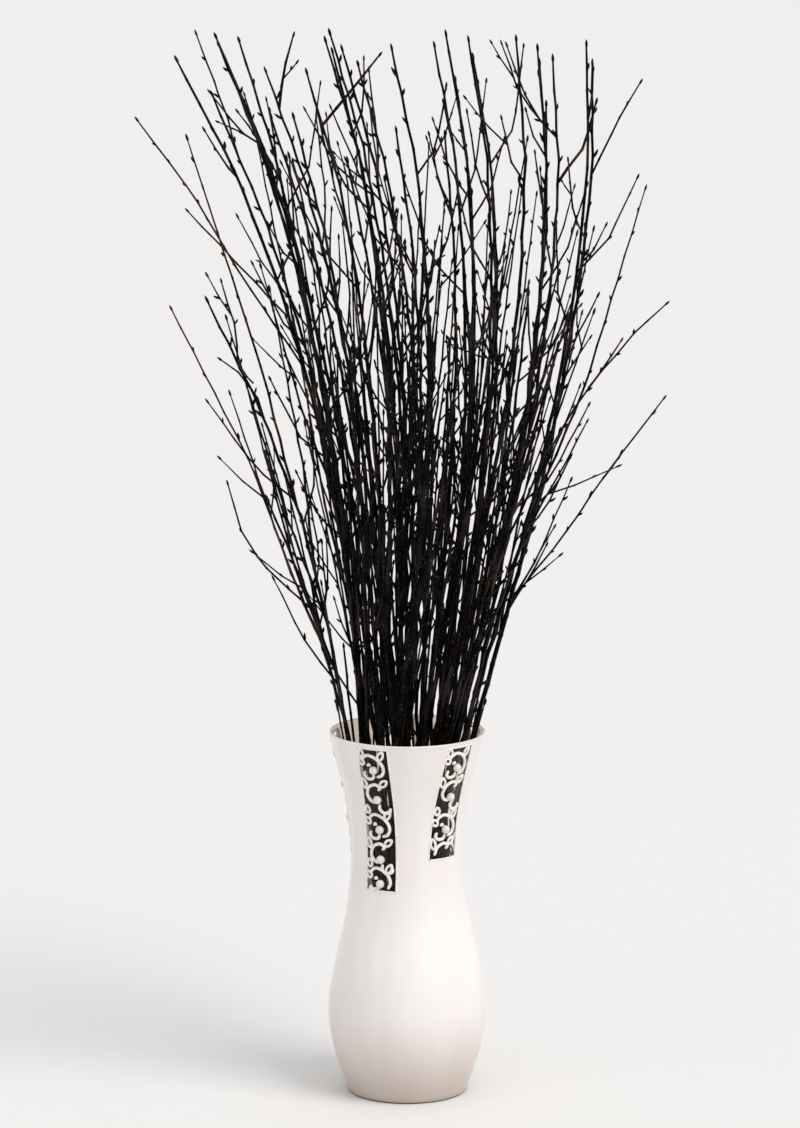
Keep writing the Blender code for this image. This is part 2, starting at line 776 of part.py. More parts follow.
def main():
    for old in list(bpy.data.objects):
        bpy.data.objects.remove(old)
    parts = new_collection("vase_of_birch_branches")
    cutters = new_collection("cutters")
    guides = new_collection("guides")
    workshop = new_collection("workshop")
    bark = material("bark", *BARK)
    coated = material("coated_glass", *COATED_GLASS)
    relief = material("relief", *RELIEF)

    build_vase(parts, cutters, coated)

    half = STROKE_WIDTH / 2
    thin = BORDER_WIDTH / 2
    outlines = {
        "stem": section("stem_section", round_outline(STEM_SIDES), guides),
        "twig": section("twig_section", round_outline(TWIG_SIDES), guides),
        "stroke": section("stroke_section", ((half, 0), (-half, 0), (0, STROKE_HEIGHT)), guides),
        "border": section("border_section", ((thin, 0), (-thin, 0), (0, BORDER_HEIGHT)), guides),
    }
    for number, window in enumerate(WINDOWS, 1):
        build_scrollwork(number, window, parts, workshop, outlines, relief)

    rng = np.random.default_rng(SEED)
    thicket = Thicket()
    stems = grow_stems(thicket, rng)
    twigs = grow_shown_twigs(thicket, stems)
    twigs += grow_twigs(thicket, stems, rng)
    buds = grow_side_buds(thicket, stems, rng)
    for number, stem in enumerate(stems):
        own_twigs = [(points, radii) for parent, points, radii in twigs if parent == number]
        own_buds = [(points, radii) for parent, points, radii in buds if parent == number]
        build_branch(number + 1, stem, own_twigs, own_buds, parts, workshop, outlines, bark)
    for guide in list(guides.objects):
        bpy.data.objects.remove(guide)


main()
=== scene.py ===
"""The looks of a coated glass vase with windows of scrollwork and its bundle of black birch branches.

Metres, +Z up. The origin is the centre of the vase's flat foot, and the front is towards -Y. The
branches grow by the same rule and from the same seed as the solids that they stand for, and then
grow finer twigs and buds by a second rule.
"""

import json
import math
from typing import NamedTuple

import bmesh
import bpy
import numpy as np
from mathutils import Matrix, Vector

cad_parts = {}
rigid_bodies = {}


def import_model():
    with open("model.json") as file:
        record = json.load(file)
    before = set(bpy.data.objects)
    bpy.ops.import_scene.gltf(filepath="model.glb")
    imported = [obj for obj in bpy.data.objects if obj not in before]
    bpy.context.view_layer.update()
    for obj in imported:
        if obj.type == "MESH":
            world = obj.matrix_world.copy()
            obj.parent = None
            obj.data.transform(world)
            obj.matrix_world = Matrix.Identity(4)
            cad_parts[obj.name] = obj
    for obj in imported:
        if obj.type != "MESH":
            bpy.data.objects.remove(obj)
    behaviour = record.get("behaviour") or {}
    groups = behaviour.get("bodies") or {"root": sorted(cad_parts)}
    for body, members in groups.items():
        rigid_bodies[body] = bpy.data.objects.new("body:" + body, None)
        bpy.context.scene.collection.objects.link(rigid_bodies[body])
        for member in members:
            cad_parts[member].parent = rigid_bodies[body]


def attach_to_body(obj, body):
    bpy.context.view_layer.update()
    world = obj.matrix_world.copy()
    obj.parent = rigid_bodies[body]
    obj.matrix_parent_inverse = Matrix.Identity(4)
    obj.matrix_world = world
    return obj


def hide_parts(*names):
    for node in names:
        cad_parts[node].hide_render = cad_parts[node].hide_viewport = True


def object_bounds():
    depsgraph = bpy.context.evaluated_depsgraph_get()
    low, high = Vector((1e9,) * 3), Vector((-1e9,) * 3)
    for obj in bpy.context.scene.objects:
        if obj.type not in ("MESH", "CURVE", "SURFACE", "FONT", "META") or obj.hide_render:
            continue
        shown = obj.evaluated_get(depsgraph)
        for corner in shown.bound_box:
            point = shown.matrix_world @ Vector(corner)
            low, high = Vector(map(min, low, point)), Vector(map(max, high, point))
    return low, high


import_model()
CAD_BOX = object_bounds()

bl_info = {
    "name": "Vase of birch branches",
    "version": (1, 0, 0),
    "blender": (4, 5, 0),
    "location": "View3D > Sidebar > Vase",
    "description": "Builds a coated glass vase with scrollwork windows and a bundle of birch branches",
    "category": "Add Mesh",
}

# The vase: (height, outer radius) down the wall
VASE_HEIGHT = 0.300
WALL = (
    (0.000, 0.0490),
    (0.012, 0.0530),
    (0.036, 0.0605),
    (0.068, 0.0648),
    (0.106, 0.0595),
    (0.150, 0.0503),
    (0.197, 0.0460),
    (0.243, 0.0495),
    (0.277, 0.0576),
    (0.300, 0.0635),
)
GLASS = 0.0030
RIM_GLASS = 0.0022
FLOOR = 0.0085
FOOT_EDGE = 0.0012
FLOOR_CORNER = 0.002
LIP = 0.0010
INNER_LEVELS = (0.016, 0.045, 0.090, 0.140, 0.205, 0.255)
TURNED_STEPS = 32
CORNER_TURNS = 5
LIP_TURNS = 10
COAT_OVER_LIP = 8
COAT_SINKS = 0.00006
COAT_EDGE = 0.3
SHARP_ABOVE = math.radians(38)

# The windows in the coat, in their order round the vase: azimuth at the top and at the bottom in
# degrees, from the front towards +X, and the height of the bottom edge
COAT = 0.0005
WINDOW_WIDTH = 0.028
WINDOW_TOP = 0.2965
LONG_BOTTOM = 0.176
SHORT_BOTTOM = 0.2015
WINDOWS = (
    (-28.0, -28.0, LONG_BOTTOM),
    (44.0, 39.0, SHORT_BOTTOM),
    (116.0, 116.0, LONG_BOTTOM),
    (188.0, 186.0, SHORT_BOTTOM),
    (-100.0, -100.0, SHORT_BOTTOM),
)

# The slab that cuts a window from the coat
SLAB_ROW = 0.004
SLAB_COLUMNS = 10
SLAB_SINKS = 4 * COAT_SINKS
SLAB_PROUD = 0.002

# How far below a window's top each pearl lies. The last motif of a short window is cut off by
# the border.
LONG_DROPS = (0.0185, 0.0440, 0.0695, 0.0945, 0.1145)
SHORT_DROPS = (0.0180, 0.0430, 0.0705)
SHORT_CUT_DROP = 0.0950

# The bundle: it is drawn in near the vase's waist and fans out above the rim
SEED = 41
BUNDLE_FOOT = 0.0095
BUNDLE_TOP = 0.870
FOOT_SPREAD = 0.036
TOP_SPREAD = 0.170
TWIST = math.radians(-127)
LEAN = (
    (0.000, 0.000),
    (0.300, 0.006),
    (0.500, 0.018),
    (0.660, 0.013),
    (0.765, 0.000),
    (0.870, -0.026),
)
EYE_DISTANCE = 3.6
EYE_HEIGHT = 1.08
STEM_SPACING = 0.25
SPACING_ROUNDS = 400
PUSH_SHARE = 0.3
PUSH_ACROSS = 0.2
NEAR = 0.012
CLEAR = 0.0009
GLASS_CLEAR = 0.0006
ABOVE_RIM = 0.002
WAIST = 0.155

# Stems at the edges of the bundle: (x, y) at the rim, (x, y, z) of the tip, radius at the foot
EDGE_STEMS = (
    ((-0.035, -0.006), (-0.183, -0.030, 0.847), 0.0025),
    ((0.054, -0.004), (0.145, -0.020, 0.844), 0.0026),
    ((-0.034, 0.016), (-0.136, 0.050, 0.857), 0.0024),
    ((-0.050, 0.011), (-0.115, 0.030, 0.489), 0.0015),
    ((-0.049, -0.011), (-0.160, -0.040, 0.659), 0.0019),
    ((-0.045, 0.002), (-0.052, 0.008, 0.371), 0.0014),
)
# Tips along the top and the sides as seen from the front, (x, z), and how stout the stem is
TOP_TIPS = (
    (-0.166, 0.790, 0.9),
    (-0.161, 0.817, 0.9),
    (-0.155, 0.863, 1.0),
    (-0.143, 0.857, 0.9),
    (-0.124, 0.836, 1.0),
    (-0.119, 0.802, 0.9),
    (-0.106, 0.800, 1.0),
    (-0.088, 0.867, 0.9),
    (-0.081, 0.836, 0.9),
    (-0.069, 0.861, 0.9),
    (-0.063, 0.852, 1.2),
    (-0.054, 0.842, 1.0),
    (-0.038, 0.854, 0.9),
    (-0.020, 0.790, 1.0),
    (-0.007, 0.855, 1.0),
    (0.012, 0.857, 1.1),
    (0.033, 0.830, 0.9),
    (0.035, 0.865, 1.2),
    (0.053, 0.861, 1.0),
    (0.064, 0.847, 0.9),
    (0.082, 0.862, 1.2),
    (0.096, 0.855, 1.0),
    (0.110, 0.843, 1.2),
    (0.118, 0.847, 0.9),
    (0.121, 0.810, 1.0),
    (0.136, 0.857, 1.1),
)
DISC_EDGE = 0.98
GOLDEN = 0.618
DEEP_FROM = 0.3
# Stems that end lower, inside the fan
INNER_STEMS = 14
INNER_LOWEST = 0.560
INNER_HIGHEST = 0.800
INNER_ACROSS = 0.80
INNER_STOUT = 0.95
FOOT_RADIUS = 0.0021
TIP_RADIUS = 0.0008
BEND = 0.010
STEM_NODE = 0.095

# Side twigs that show at the edges: parent, height of the root, then points (x, y, z) out to the tip
SHOWN_TWIGS = (
    (0, 0.318, ((-0.055, -0.004, 0.343), (-0.081, -0.005, 0.398),
                (-0.126, -0.012, 0.522), (-0.189, -0.020, 0.649))),
    (0, 0.600, ((-0.132, -0.045, 0.677), (-0.169, -0.050, 0.741), (-0.213, -0.055, 0.801))),
    (0, 0.640, ((-0.142, -0.022, 0.690), (-0.176, -0.020, 0.726))),
    (1, 0.396, ((0.092, -0.020, 0.422), (0.124, -0.030, 0.464),
                (0.155, -0.035, 0.512), (0.205, -0.040, 0.580))),
    (1, 0.450, ((0.101, 0.004, 0.474), (0.123, 0.012, 0.509), (0.146, 0.018, 0.553))),
    (1, 0.508, ((0.118, -0.022, 0.543), (0.146, -0.030, 0.588),
                (0.182, -0.032, 0.631), (0.207, -0.034, 0.654))),
    (1, 0.562, ((0.122, 0.000, 0.583), (0.148, 0.010, 0.622))),
    (1, 0.600, ((0.132, -0.024, 0.620), (0.152, -0.030, 0.661))),
    (1, 0.752, ((0.167, -0.028, 0.799), (0.184, -0.034, 0.829))),
    (4, 0.560, ((-0.122, -0.045, 0.590), (-0.150, -0.055, 0.612))),
    (2, 0.740, ((-0.118, 0.048, 0.772), (-0.138, 0.040, 0.800))),
)
# A twig on a twig: number of the shown twig, share of its length, then points
TWIGS_ON_TWIGS = (
    (0, 0.27, ((-0.105, -0.020, 0.428), (-0.130, -0.030, 0.460), (-0.144, -0.034, 0.511))),
    (3, 0.10, ((0.100, -0.032, 0.436), (0.112, -0.040, 0.462))),
    (5, 0.52, ((0.158, -0.042, 0.606), (0.170, -0.048, 0.627))),
)

# Side twigs that follow the rule
TWIG_ROUNDS = 3
TWIG_TRIES = 14
TWIG_LOWEST = 0.350
TWIG_BELOW_TIP = (0.030, 0.42)
TWIG_SHARES = (0.1, 0.9)
TWIG_SHORTENS = 0.5
TWIG_LENGTHS = (0.045, 0.120)
TWIG_RUNS = (0.36, 0.64)
TWIG_STRAIGHTENS = 0.42
TWIG_LEAVES_AT = (math.radians(30), math.radians(48))
TWIG_RADIUS = 0.0009
TWIG_END_RADIUS = 0.0007
DIRECTION_STEP = 0.02
SAMPLE_STEP = 0.002
ROOT_ZONE = 0.012


class TwigRule(NamedTuple):
    """How one kind of finer twig grows.

    Roots lie between two shares of the host's length, and angles are in degrees. Along its root
    zone a twig may touch its host, and past its first run it keeps a share of its angle.
    """

    rounds: int
    roots: tuple
    lengths: tuple
    leaves_at: tuple
    radii: tuple
    root_zone: float
    keeps: float


# The finer growth
FINE_SEED = 907
FINE_TRIES = 7
FINE_CLEAR = 0.0003
BOX_SPARE = 0.004
BOX_SPARE_ABOVE = 0.001
LONG_TWIGS = TwigRule(
    rounds=4,
    roots=(0.0, 1.0),
    lengths=(0.150, 0.330),
    leaves_at=(5, 13),
    radii=(0.0012, 0.0006),
    root_zone=0.026,
    keeps=0.42,
)
SHORT_TWIGS = TwigRule(
    rounds=2,
    roots=(0.40, 0.86),
    lengths=(0.040, 0.130),
    leaves_at=(20, 44),
    radii=(0.0009, 0.0006),
    root_zone=0.012,
    keeps=0.5,
)
TWIGLETS = TwigRule(
    rounds=1,
    roots=(0.25, 0.80),
    lengths=(0.025, 0.070),
    leaves_at=(30, 52),
    radii=(0.0008, 0.0005),
    root_zone=0.010,
    keeps=0.75,
)
# Where long twigs start: lowest and highest, lowest on the edge stems, and how far below the tip
LONG_STARTS = (0.110, 0.500)
EDGE_STARTS = 0.340
LONG_BELOW_TIP = 0.120
# One in so many twigs carries twiglets
TWIGLET_HOSTS = 3
# Twigs seen from the front that fork off whichever stem stands nearest: (x, z) points
SEEN_FORKS = (
    ((-0.060, 0.796), (-0.040, 0.823), (-0.020, 0.848)),
    ((-0.107, 0.797), (-0.098, 0.833), (-0.089, 0.864)),
    ((0.128, 0.742), (0.141, 0.775), (0.150, 0.812)),
)
FORK_RADII = (0.0013, 0.0009)
FORK_BELOW_TIP = 0.02
FORK_SLIDE = 0.01

# The nodes of a stem or twig, which step from side to side, and the buds on them. Buds on thinner
# wood are smaller.
NODE_PITCH = 0.019
NODE_DRIFT = 0.22
NODE_TURN = 0.5
NODE_SHIFT = 0.45
NODE_SWELL = 1.16
NODE_HALF = 0.0024
BUDS_ABOVE = 0.335
BUD_CHANCE = 0.62
BUD_SMALLEST = 0.62
FULL_BUD_WOOD = 0.0018
BUD_LENGTHS = (0.9, 1.12)
BUD_WIDTHS = (0.9, 1.1)
BUD_SIZES = (0.65, 1.1)
BUD_LEANS = (20, 40)
BUD_OUT = 0.7
BUD_DOWN = 0.0008
TIP_BUD_COVERS = 0.75
TIP_BUD_SINKS = 0.25
TIP_THINNER = 0.8
TIP_STOUTER = 1.2
# How reddish the bark may be: of stems, of twigs, and of the first of the shown twigs
STEM_TONES = 0.5
TWIG_TONES = 0.75
RED_TWIG = 0.9

# How wide a bud or a pearl is along its length, as (share of the length, share of the width)
BUD_OUTLINE = ((0.0, 0.50), (0.20, 0.84), (0.48, 1.0), (0.78, 0.70), (1.0, 0.14))
BUD_RINGS = 6
PEARL_OUTLINE = (
    (0.0, 0.05),
    (0.07, 0.51),
    (0.25, 0.87),
    (0.5, 1.0),
    (0.75, 0.87),
    (0.93, 0.51),
    (1.0, 0.05),
)
PEARL_SIDES = 20
PEARL_RINGS = 14
PEARL_SINKS = 0.95

# Scroll strokes, (across, down) from the motif's pearl in millimetres, for the first motif and the
# one that follows it: arcs, hooks, and leaf loops as (centre, tip)
FIRST_MOTIF = {
    "strokes": (
        (
            (-9.6, -7.4), (-8.0, -10.6), (-4.1, -12.6), (1.6, -11.2),
            (6.8, -6.8), (8.7, -1.4), (6.8, 3.7), (2.1, 5.6),
        ),
        ((-8.0, 1.6), (-9.2, 4.7), (-6.4, 7.6), (-1.8, 7.2), (-0.2, 3.7)),
        ((-5.4, -3.2), (-4.2, -4.8), (-2.6, -3.4)),
    ),
    "loops": (
        ((-10.4, -16.4), (-11.0, -19.6)),
        ((-11.0, -6.8), (-13.2, -9.0)),
        ((7.4, -12.8), (9.4, -16.2)),
    ),
}
NEXT_MOTIF = {
    "strokes": (
        (
            (1.4, -8.4), (3.4, -10.0), (1.8, -12.4), (-2.0, -12.9),
            (-6.9, -10.0), (-8.9, -3.9), (-6.2, 1.0), (-1.4, 2.7),
        ),
        ((1.8, 3.7), (1.4, 7.8), (5.0, 10.9), (9.6, 9.9), (10.6, 6.4)),
    ),
    "loops": (((-10.8, -13.4), (-12.0, -17.6)), ((7.0, -14.4), (9.8, -16.8))),
}
LOOP_HALF_WIDTH = 2.1
LOOP_POINTS = 8
LOOP_PINCH = 0.35
LOOP_THINNER = 0.82
SCROLL_STEP = 0.0008
SCROLL_SIDES = 10
STROKE_RAISED = 0.25
STROKE_ENDS = (0.45, 0.85, 1.0)
# Where loops and strokes may start below the window's top, and how far above its bottom they end
LOOPS_FROM = 0.0014
STROKES_FROM = 0.0012
STROKES_END = 0.0006
BORDER_STEP = 3 * SCROLL_STEP
BORDER_INSET = 0.0002
BORDER_TOP = 0.0004

# Where finishes change with height, (from, to), and their second colours
# Painted shade and table reflection: the coat darkens to a brown low down, between these heights
LOW_PAINTED_SHADE = (-0.006, 0.088)
# Heights of the painted highlight that makes the belly paler
BELLY_HIGHLIGHT_STARTS = (0.07, 0.12)
BELLY_HIGHLIGHT_ENDS = (0.14, 0.19)
# Painted light: the inside of the coat glows, dim low down and brighter between these heights, for
# light through the coat and the mouth
LIT_INSIDE = (0.12, 0.31)
INSIDE_GLOW_LOW = (0.03, 0.026, 0.024)
INSIDE_GLOW_HIGH = (0.40, 0.33, 0.27)
COAT_INSIDE = (0.84, 0.74, 0.64)
DUSTY_GLASS = (0.93, 0.92, 0.90)
# Darker colour of the paste in random patches
PASTE_DARKER_PATCHES = (0.70, 0.64, 0.58)
PEARL_CLOUDS = (0.68, 0.59, 0.55)
BARK_RIDGES = (0.008, 0.007, 0.007)

# The stage: the floor pales out to the colour of the light round it
FLOOR_RADIUS = 40.0
FLOOR_RINGS = (0.6, 3.0)
FLOOR_SIDES = 64
FLOOR_FADES = (14.0, 36.0)
FLOOR_GRAIN = 0.97
FAR_FLOOR = (0.66, 0.655, 0.65)
SKY_COLOUR = (1.0, 0.995, 0.99, 1)
SKY_STRENGTH = 0.72
SUN_WAY = (-0.75, 0.55, -1.0)
SUN_POWER = 1.55
SUN_ANGLE = math.radians(35)
SUN_COLOUR = (1.0, 0.985, 0.96)
# Soft lamps: (name, place, diameter, power, colour)
STRIPS = (
    ("strip_right", (0.85, -1.5, 0.9), 1.4, 0.20, (1.0, 0.99, 0.98)),
    ("strip_left", (-1.2, -1.0, 0.8), 1.2, 0.20, (1.0, 0.97, 0.94)),
)
STRIPS_AIM = (0, 0, 0.2)
STRIP_SPREAD = math.radians(50)
# The camera: its frame's height and its lens's length in pixels
FRAME_HEIGHT = 1128
LENS_PIXELS = 4540
SENSOR = 36.0
CAMERA_LENS = LENS_PIXELS / FRAME_HEIGHT * SENSOR
CAMERA_PLACE = (-0.006, -EYE_DISTANCE, EYE_HEIGHT)
CAMERA_PITCH = 10.13
CAMERA_REACH = 200


# Curves and the wall


def unit(way):
    return way / np.linalg.norm(way)


def square_to(run, azimuth):
    """The direction square to a run that lies nearest to an azimuth."""
    flat = np.array([math.cos(azimuth), math.sin(azimuth), 0])
    return unit(flat - flat.dot(run) * run)


def followed(points, along, at):
    """Where a path is at a measure, or at several, that rises along it."""
    return np.stack([np.interp(at, along, points[:, k]) for k in range(3)], axis=-1)


def through(points, at):
    """The height of a smooth curve through (x, y) points."""
    xs = [p[0] for p in points]
    ys = [p[1] for p in points]
    slopes = np.gradient(ys, xs)
    k = int(np.clip(np.searchsorted(xs, at) - 1, 0, len(xs) - 2))
    span = xs[k + 1] - xs[k]
    s = (at - xs[k]) / span
    rise = (2 * s**3 - 3 * s**2 + 1) * ys[k] + (3 * s**2 - 2 * s**3) * ys[k + 1]
    return float(rise + span * ((s**3 - 2 * s**2 + s) * slopes[k] + (s**3 - s**2) * slopes[k + 1]))


def wall(z):
    return through(WALL, z)


def inner_wall(z):
    return wall(z) - (GLASS + (RIM_GLASS - GLASS) * z / VASE_HEIGHT)


def inner_outline():
    """The inside of the glass as (height, radius), from the floor's edge up to the lip."""
    lip = VASE_HEIGHT - LIP
    heights = (*INNER_LEVELS, lip)
    return [(FLOOR, inner_wall(FLOOR) - FLOOR_CORNER)] + [(z, inner_wall(z)) for z in heights]


def inside_radius(z):
    """How far from the axis the flat-sided inside of the glass lets things stand."""
    heights, radii = zip(*inner_outline())
    return np.interp(z, heights, radii) * math.cos(math.pi / TURNED_STEPS)


def on_wall(window, across, z, outward):
    """A point over the outer wall, `across` from the window's middle line."""
    top, bottom, bottom_z = window
    share = (WINDOW_TOP - z) / (WINDOW_TOP - bottom_z)
    radius = wall(z)
    angle = math.radians(top + (bottom - top) * share) + across / radius
    reach = radius + outward
    return (reach * math.sin(angle), -reach * math.cos(angle), z)


# Where the branches run. A plan position is a complex number, x + iy.


def spread(z):
    """How the unit disc lies at a height: turned and drawn in low down, wide open at the top."""
    t = (z - BUNDLE_FOOT) / (BUNDLE_TOP - BUNDLE_FOOT)
    return (1 - t) * FOOT_SPREAD * np.exp(1j * TWIST) + t * TOP_SPREAD


def lean(z):
    return through(LEAN, z)


def as_placed(x, z, depth):
    """A point seen from the front at (x, z) in the plane of the axis, moved to its depth."""
    scale = 1 + depth / EYE_DISTANCE
    return x * scale, EYE_HEIGHT - (EYE_HEIGHT - z) * scale


def spaced(places, fixed):
    """The places in the unit disc, moved apart, mostly in depth, and kept in the disc."""
    for _ in range(SPACING_ROUNDS):
        away = places[:, None] - places[None, :]
        distance = np.abs(away) + np.eye(len(places))
        push = np.where(distance < STEM_SPACING, (STEM_SPACING - distance) / distance, 0) * away
        shift = push.sum(axis=1) * PUSH_SHARE
        shift[:fixed] = 0
        places = places + PUSH_ACROSS * shift.real + 1j * shift.imag
        radius = np.abs(places)
        radius[:fixed] = 0
        places = places / np.maximum(radius, 1)
    return places


class Thicket:
    """The wood placed so far, as round-ended rods."""

    def __init__(self):
        self.starts = np.zeros((0, 3))
        self.ends = np.zeros((0, 3))
        self.radii = np.zeros(0)
        self.owners = np.zeros(0, int)

    def add(self, points, radii, owner):
        points = np.asarray(points)
        self.starts = np.vstack([self.starts, points[:-1]])
        self.ends = np.vstack([self.ends, points[1:]])
        self.radii = np.append(self.radii, np.maximum(radii[:-1], radii[1:]))
        self.owners = np.append(self.owners, np.full(len(points) - 1, owner))

    def room(self, points, radii, skip_owner=None):
        """The smallest gap between a new rod and the rods placed."""
        samples, thickness = sampled(points, radii)
        low = samples.min(axis=0) - NEAR
        high = samples.max(axis=0) + NEAR
        near = (np.maximum(self.starts, self.ends) > low).all(axis=1)
        near &= (np.minimum(self.starts, self.ends) < high).all(axis=1)
        if skip_owner is not None:
            near &= self.owners != skip_owner
        if not near.any():
            return NEAR
        start = self.starts[near][None]
        run = self.ends[near][None] - start
        to = samples[:, None] - start
        share = np.clip((to * run).sum(2) / (run * run).sum(2), 0, 1)
        distance = np.linalg.norm(to - share[..., None] * run, axis=2)
        return float((distance - self.radii[near][None] - thickness[:, None]).min())


def sampled(points, radii):
    """Points every few millimetres along a path, with the radius at each."""
    points = np.asarray(points)
    steps = np.linalg.norm(np.diff(points, axis=0), axis=1)
    along = np.append(0, np.cumsum(steps))
    at = np.linspace(0, along[-1], max(2, int(along[-1] / SAMPLE_STEP)))
    return followed(points, along, at), np.interp(at, along, radii)


def in_glass(points, radii):
    """Whether a path keeps off the inside of the vase and its rim."""
    samples, thickness = sampled(points, radii)
    low = samples[:, 2] < VASE_HEIGHT + ABOVE_RIM
    reach = np.hypot(samples[low, 0], samples[low, 1]) + thickness[low]
    return bool((reach <= inside_radius(samples[low, 2]) - GLASS_CLEAR).all())


def stem_heights(tip_z):
    """Heights of a stem's points: the foot, the waist, the rim, then evenly to the tip."""
    count = max(1, round((tip_z - VASE_HEIGHT) / STEM_NODE))
    above = [VASE_HEIGHT + (tip_z - VASE_HEIGHT) * k / count for k in range(1, count + 1)]
    return [BUNDLE_FOOT, WAIST, VASE_HEIGHT] + above


def stem_path(place, flare, tip_z):
    """The points of a stem that starts at a place in the disc and flares by the tip."""
    points = []
    for z in stem_heights(tip_z):
        share = max(0, (z - VASE_HEIGHT) / (tip_z - VASE_HEIGHT))
        p = place * spread(z) + lean(z) + flare * share**2
        points.append((p.real, p.imag, z))
    return np.array(points)


def tapered(points, foot, tip):
    """Radii that fall evenly along a path."""
    steps = np.linalg.norm(np.diff(points, axis=0), axis=1)
    along = np.append(0, np.cumsum(steps)) / steps.sum()
    return foot + (tip - foot) * along


def disc_places():
    """The tip, the foot radius and the place in the disc of each stem but the edge ones."""
    rows = [(x, z, stout * FOOT_RADIUS) for x, z, stout in TOP_TIPS]
    for k in range(INNER_STEMS):
        share = (k + 0.5) / INNER_STEMS
        z = INNER_LOWEST + (INNER_HIGHEST - INNER_LOWEST) * ((k * GOLDEN) % 1)
        x = lean(z) + (2 * share - 1) * INNER_ACROSS * abs(spread(z))
        rows.append((x, z, INNER_STOUT * FOOT_RADIUS))
    rows.sort()
    places = []
    for k, (x, z, _) in enumerate(rows):
        across = np.clip((x - lean(z)) / abs(spread(z)), -DISC_EDGE, DISC_EDGE)
        deep = 2 * ((k * GOLDEN + DEEP_FROM) % 1) - 1
        places.append(across + 1j * deep * math.sqrt(1 - across**2))
    return rows, np.array(places)


def grow_stems(thicket, rng):
    """Each stem as (points, radii)."""
    stems = []
    fixed = []
    for (rim_x, rim_y), (x, y, z), radius in EDGE_STEMS:
        place = (rim_x + 1j * rim_y - lean(VASE_HEIGHT)) / spread(VASE_HEIGHT)
        fixed.append(place)
        flare = x + 1j * y - place * spread(z) - lean(z)
        points = stem_path(place, flare, z)
        stems.append((points, tapered(points, radius, TIP_RADIUS)))
    rows, free = disc_places()
    places = spaced(np.append(np.array(fixed), free), len(fixed))[len(fixed):]
    for number, (points, radii) in enumerate(stems):
        thicket.add(points, radii, number)
    for (x_seen, z_seen, radius), place in zip(rows, places):
        for attempt in range(TWIG_TRIES):
            size = BEND * (1 - attempt / (TWIG_TRIES - 1))
            bend = size * (rng.uniform(-1, 1) + 1j * rng.uniform(-1, 1))
            depth = (place * spread(z_seen)).imag
            z = as_placed(x_seen, z_seen, depth)[1]
            points = stem_path(place, bend, z)
            radii = tapered(points, radius, TIP_RADIUS)
            if thicket.room(points, radii) > CLEAR and in_glass(points, radii):
                break
        thicket.add(points, radii, len(stems))
        stems.append((points, radii))
    return stems


def at_height(points, z):
    """The point where a rising path passes a height."""
    return followed(points, points[:, 2], z)


def curved_twig(root, way, up, length, leaves_at, keeps=TWIG_STRAIGHTENS):
    """A twig that leaves at an angle and bends up to run along the stem."""
    points = [root]
    angle = leaves_at
    for share in TWIG_RUNS:
        step = math.cos(angle) * up + math.sin(angle) * way
        points.append(points[-1] + share * length * step)
        angle *= keeps
    return np.array(points)


def twig_fits(thicket, points, radii, parent):
    """Whether a twig is clear of all wood, and past its root also of the wood that it grows from."""
    if not in_glass(points, radii) or points[:, 2].max() > BUNDLE_TOP:
        return False
    if thicket.room(points, radii, parent) < CLEAR:
        return False
    samples, thickness = sampled(points, radii)
    past = int(ROOT_ZONE / SAMPLE_STEP)
    return thicket.room(samples[past:], thickness[past:]) > CLEAR


def twig_radii(points):
    return tapered(points, TWIG_RADIUS, TWIG_END_RADIUS)


def grow_shown_twigs(thicket, stems):
    """The listed twigs, each as (stem, points, radii)."""
    twigs = []
    for parent, z, way_points in SHOWN_TWIGS:
        points = np.vstack([at_height(stems[parent][0], z), np.array(way_points)])
        twigs.append((parent, points, twig_radii(points)))
    for number, share, way_points in TWIGS_ON_TWIGS:
        parent, trunk, _ = twigs[number]
        z = trunk[0, 2] + share * (trunk[-1, 2] - trunk[0, 2])
        points = np.vstack([at_height(trunk, z), np.array(way_points)])
        twigs.append((parent, points, twig_radii(points)))
    for parent, points, radii in twigs:
        thicket.add(points, radii, parent)
    return twigs


def grow_twigs(thicket, stems, rng):
    """The rule's twigs: one more on each stem in each round, turned away from what stands near."""
    twigs = []
    for turn in range(TWIG_ROUNDS):
        for parent, (trunk, _) in enumerate(stems):
            tip_z = trunk[-1, 2]
            low = max(TWIG_LOWEST, tip_z - TWIG_BELOW_TIP[1])
            high = tip_z - TWIG_BELOW_TIP[0]
            if high < low:
                continue
            for attempt in range(TWIG_TRIES):
                share = (turn + rng.uniform(*TWIG_SHARES)) / TWIG_ROUNDS
                z = high - share * (high - low)
                root = at_height(trunk, z)
                up = unit(at_height(trunk, min(z + DIRECTION_STEP, tip_z)) - root)
                way = square_to(up, rng.uniform(0, math.tau))
                length = rng.uniform(*TWIG_LENGTHS) * (1 - TWIG_SHORTENS * attempt / TWIG_TRIES)
                leaves_at = rng.uniform(*TWIG_LEAVES_AT)
                points = curved_twig(root, way, up, length, leaves_at)
                radii = twig_radii(points)
                if twig_fits(thicket, points, radii, parent):
                    thicket.add(points, radii, parent)
                    twigs.append((parent, points, radii))
                    break
    return twigs


def store(mesh, name, kind, values):
    """Puts one value for each vertex on a mesh, for a node tree to read."""
    field = "vector" if kind == "FLOAT_VECTOR" else "value"
    made = mesh.attributes.new(name, kind, "POINT")
    made.data.foreach_set(field, np.asarray(values).reshape(-1))


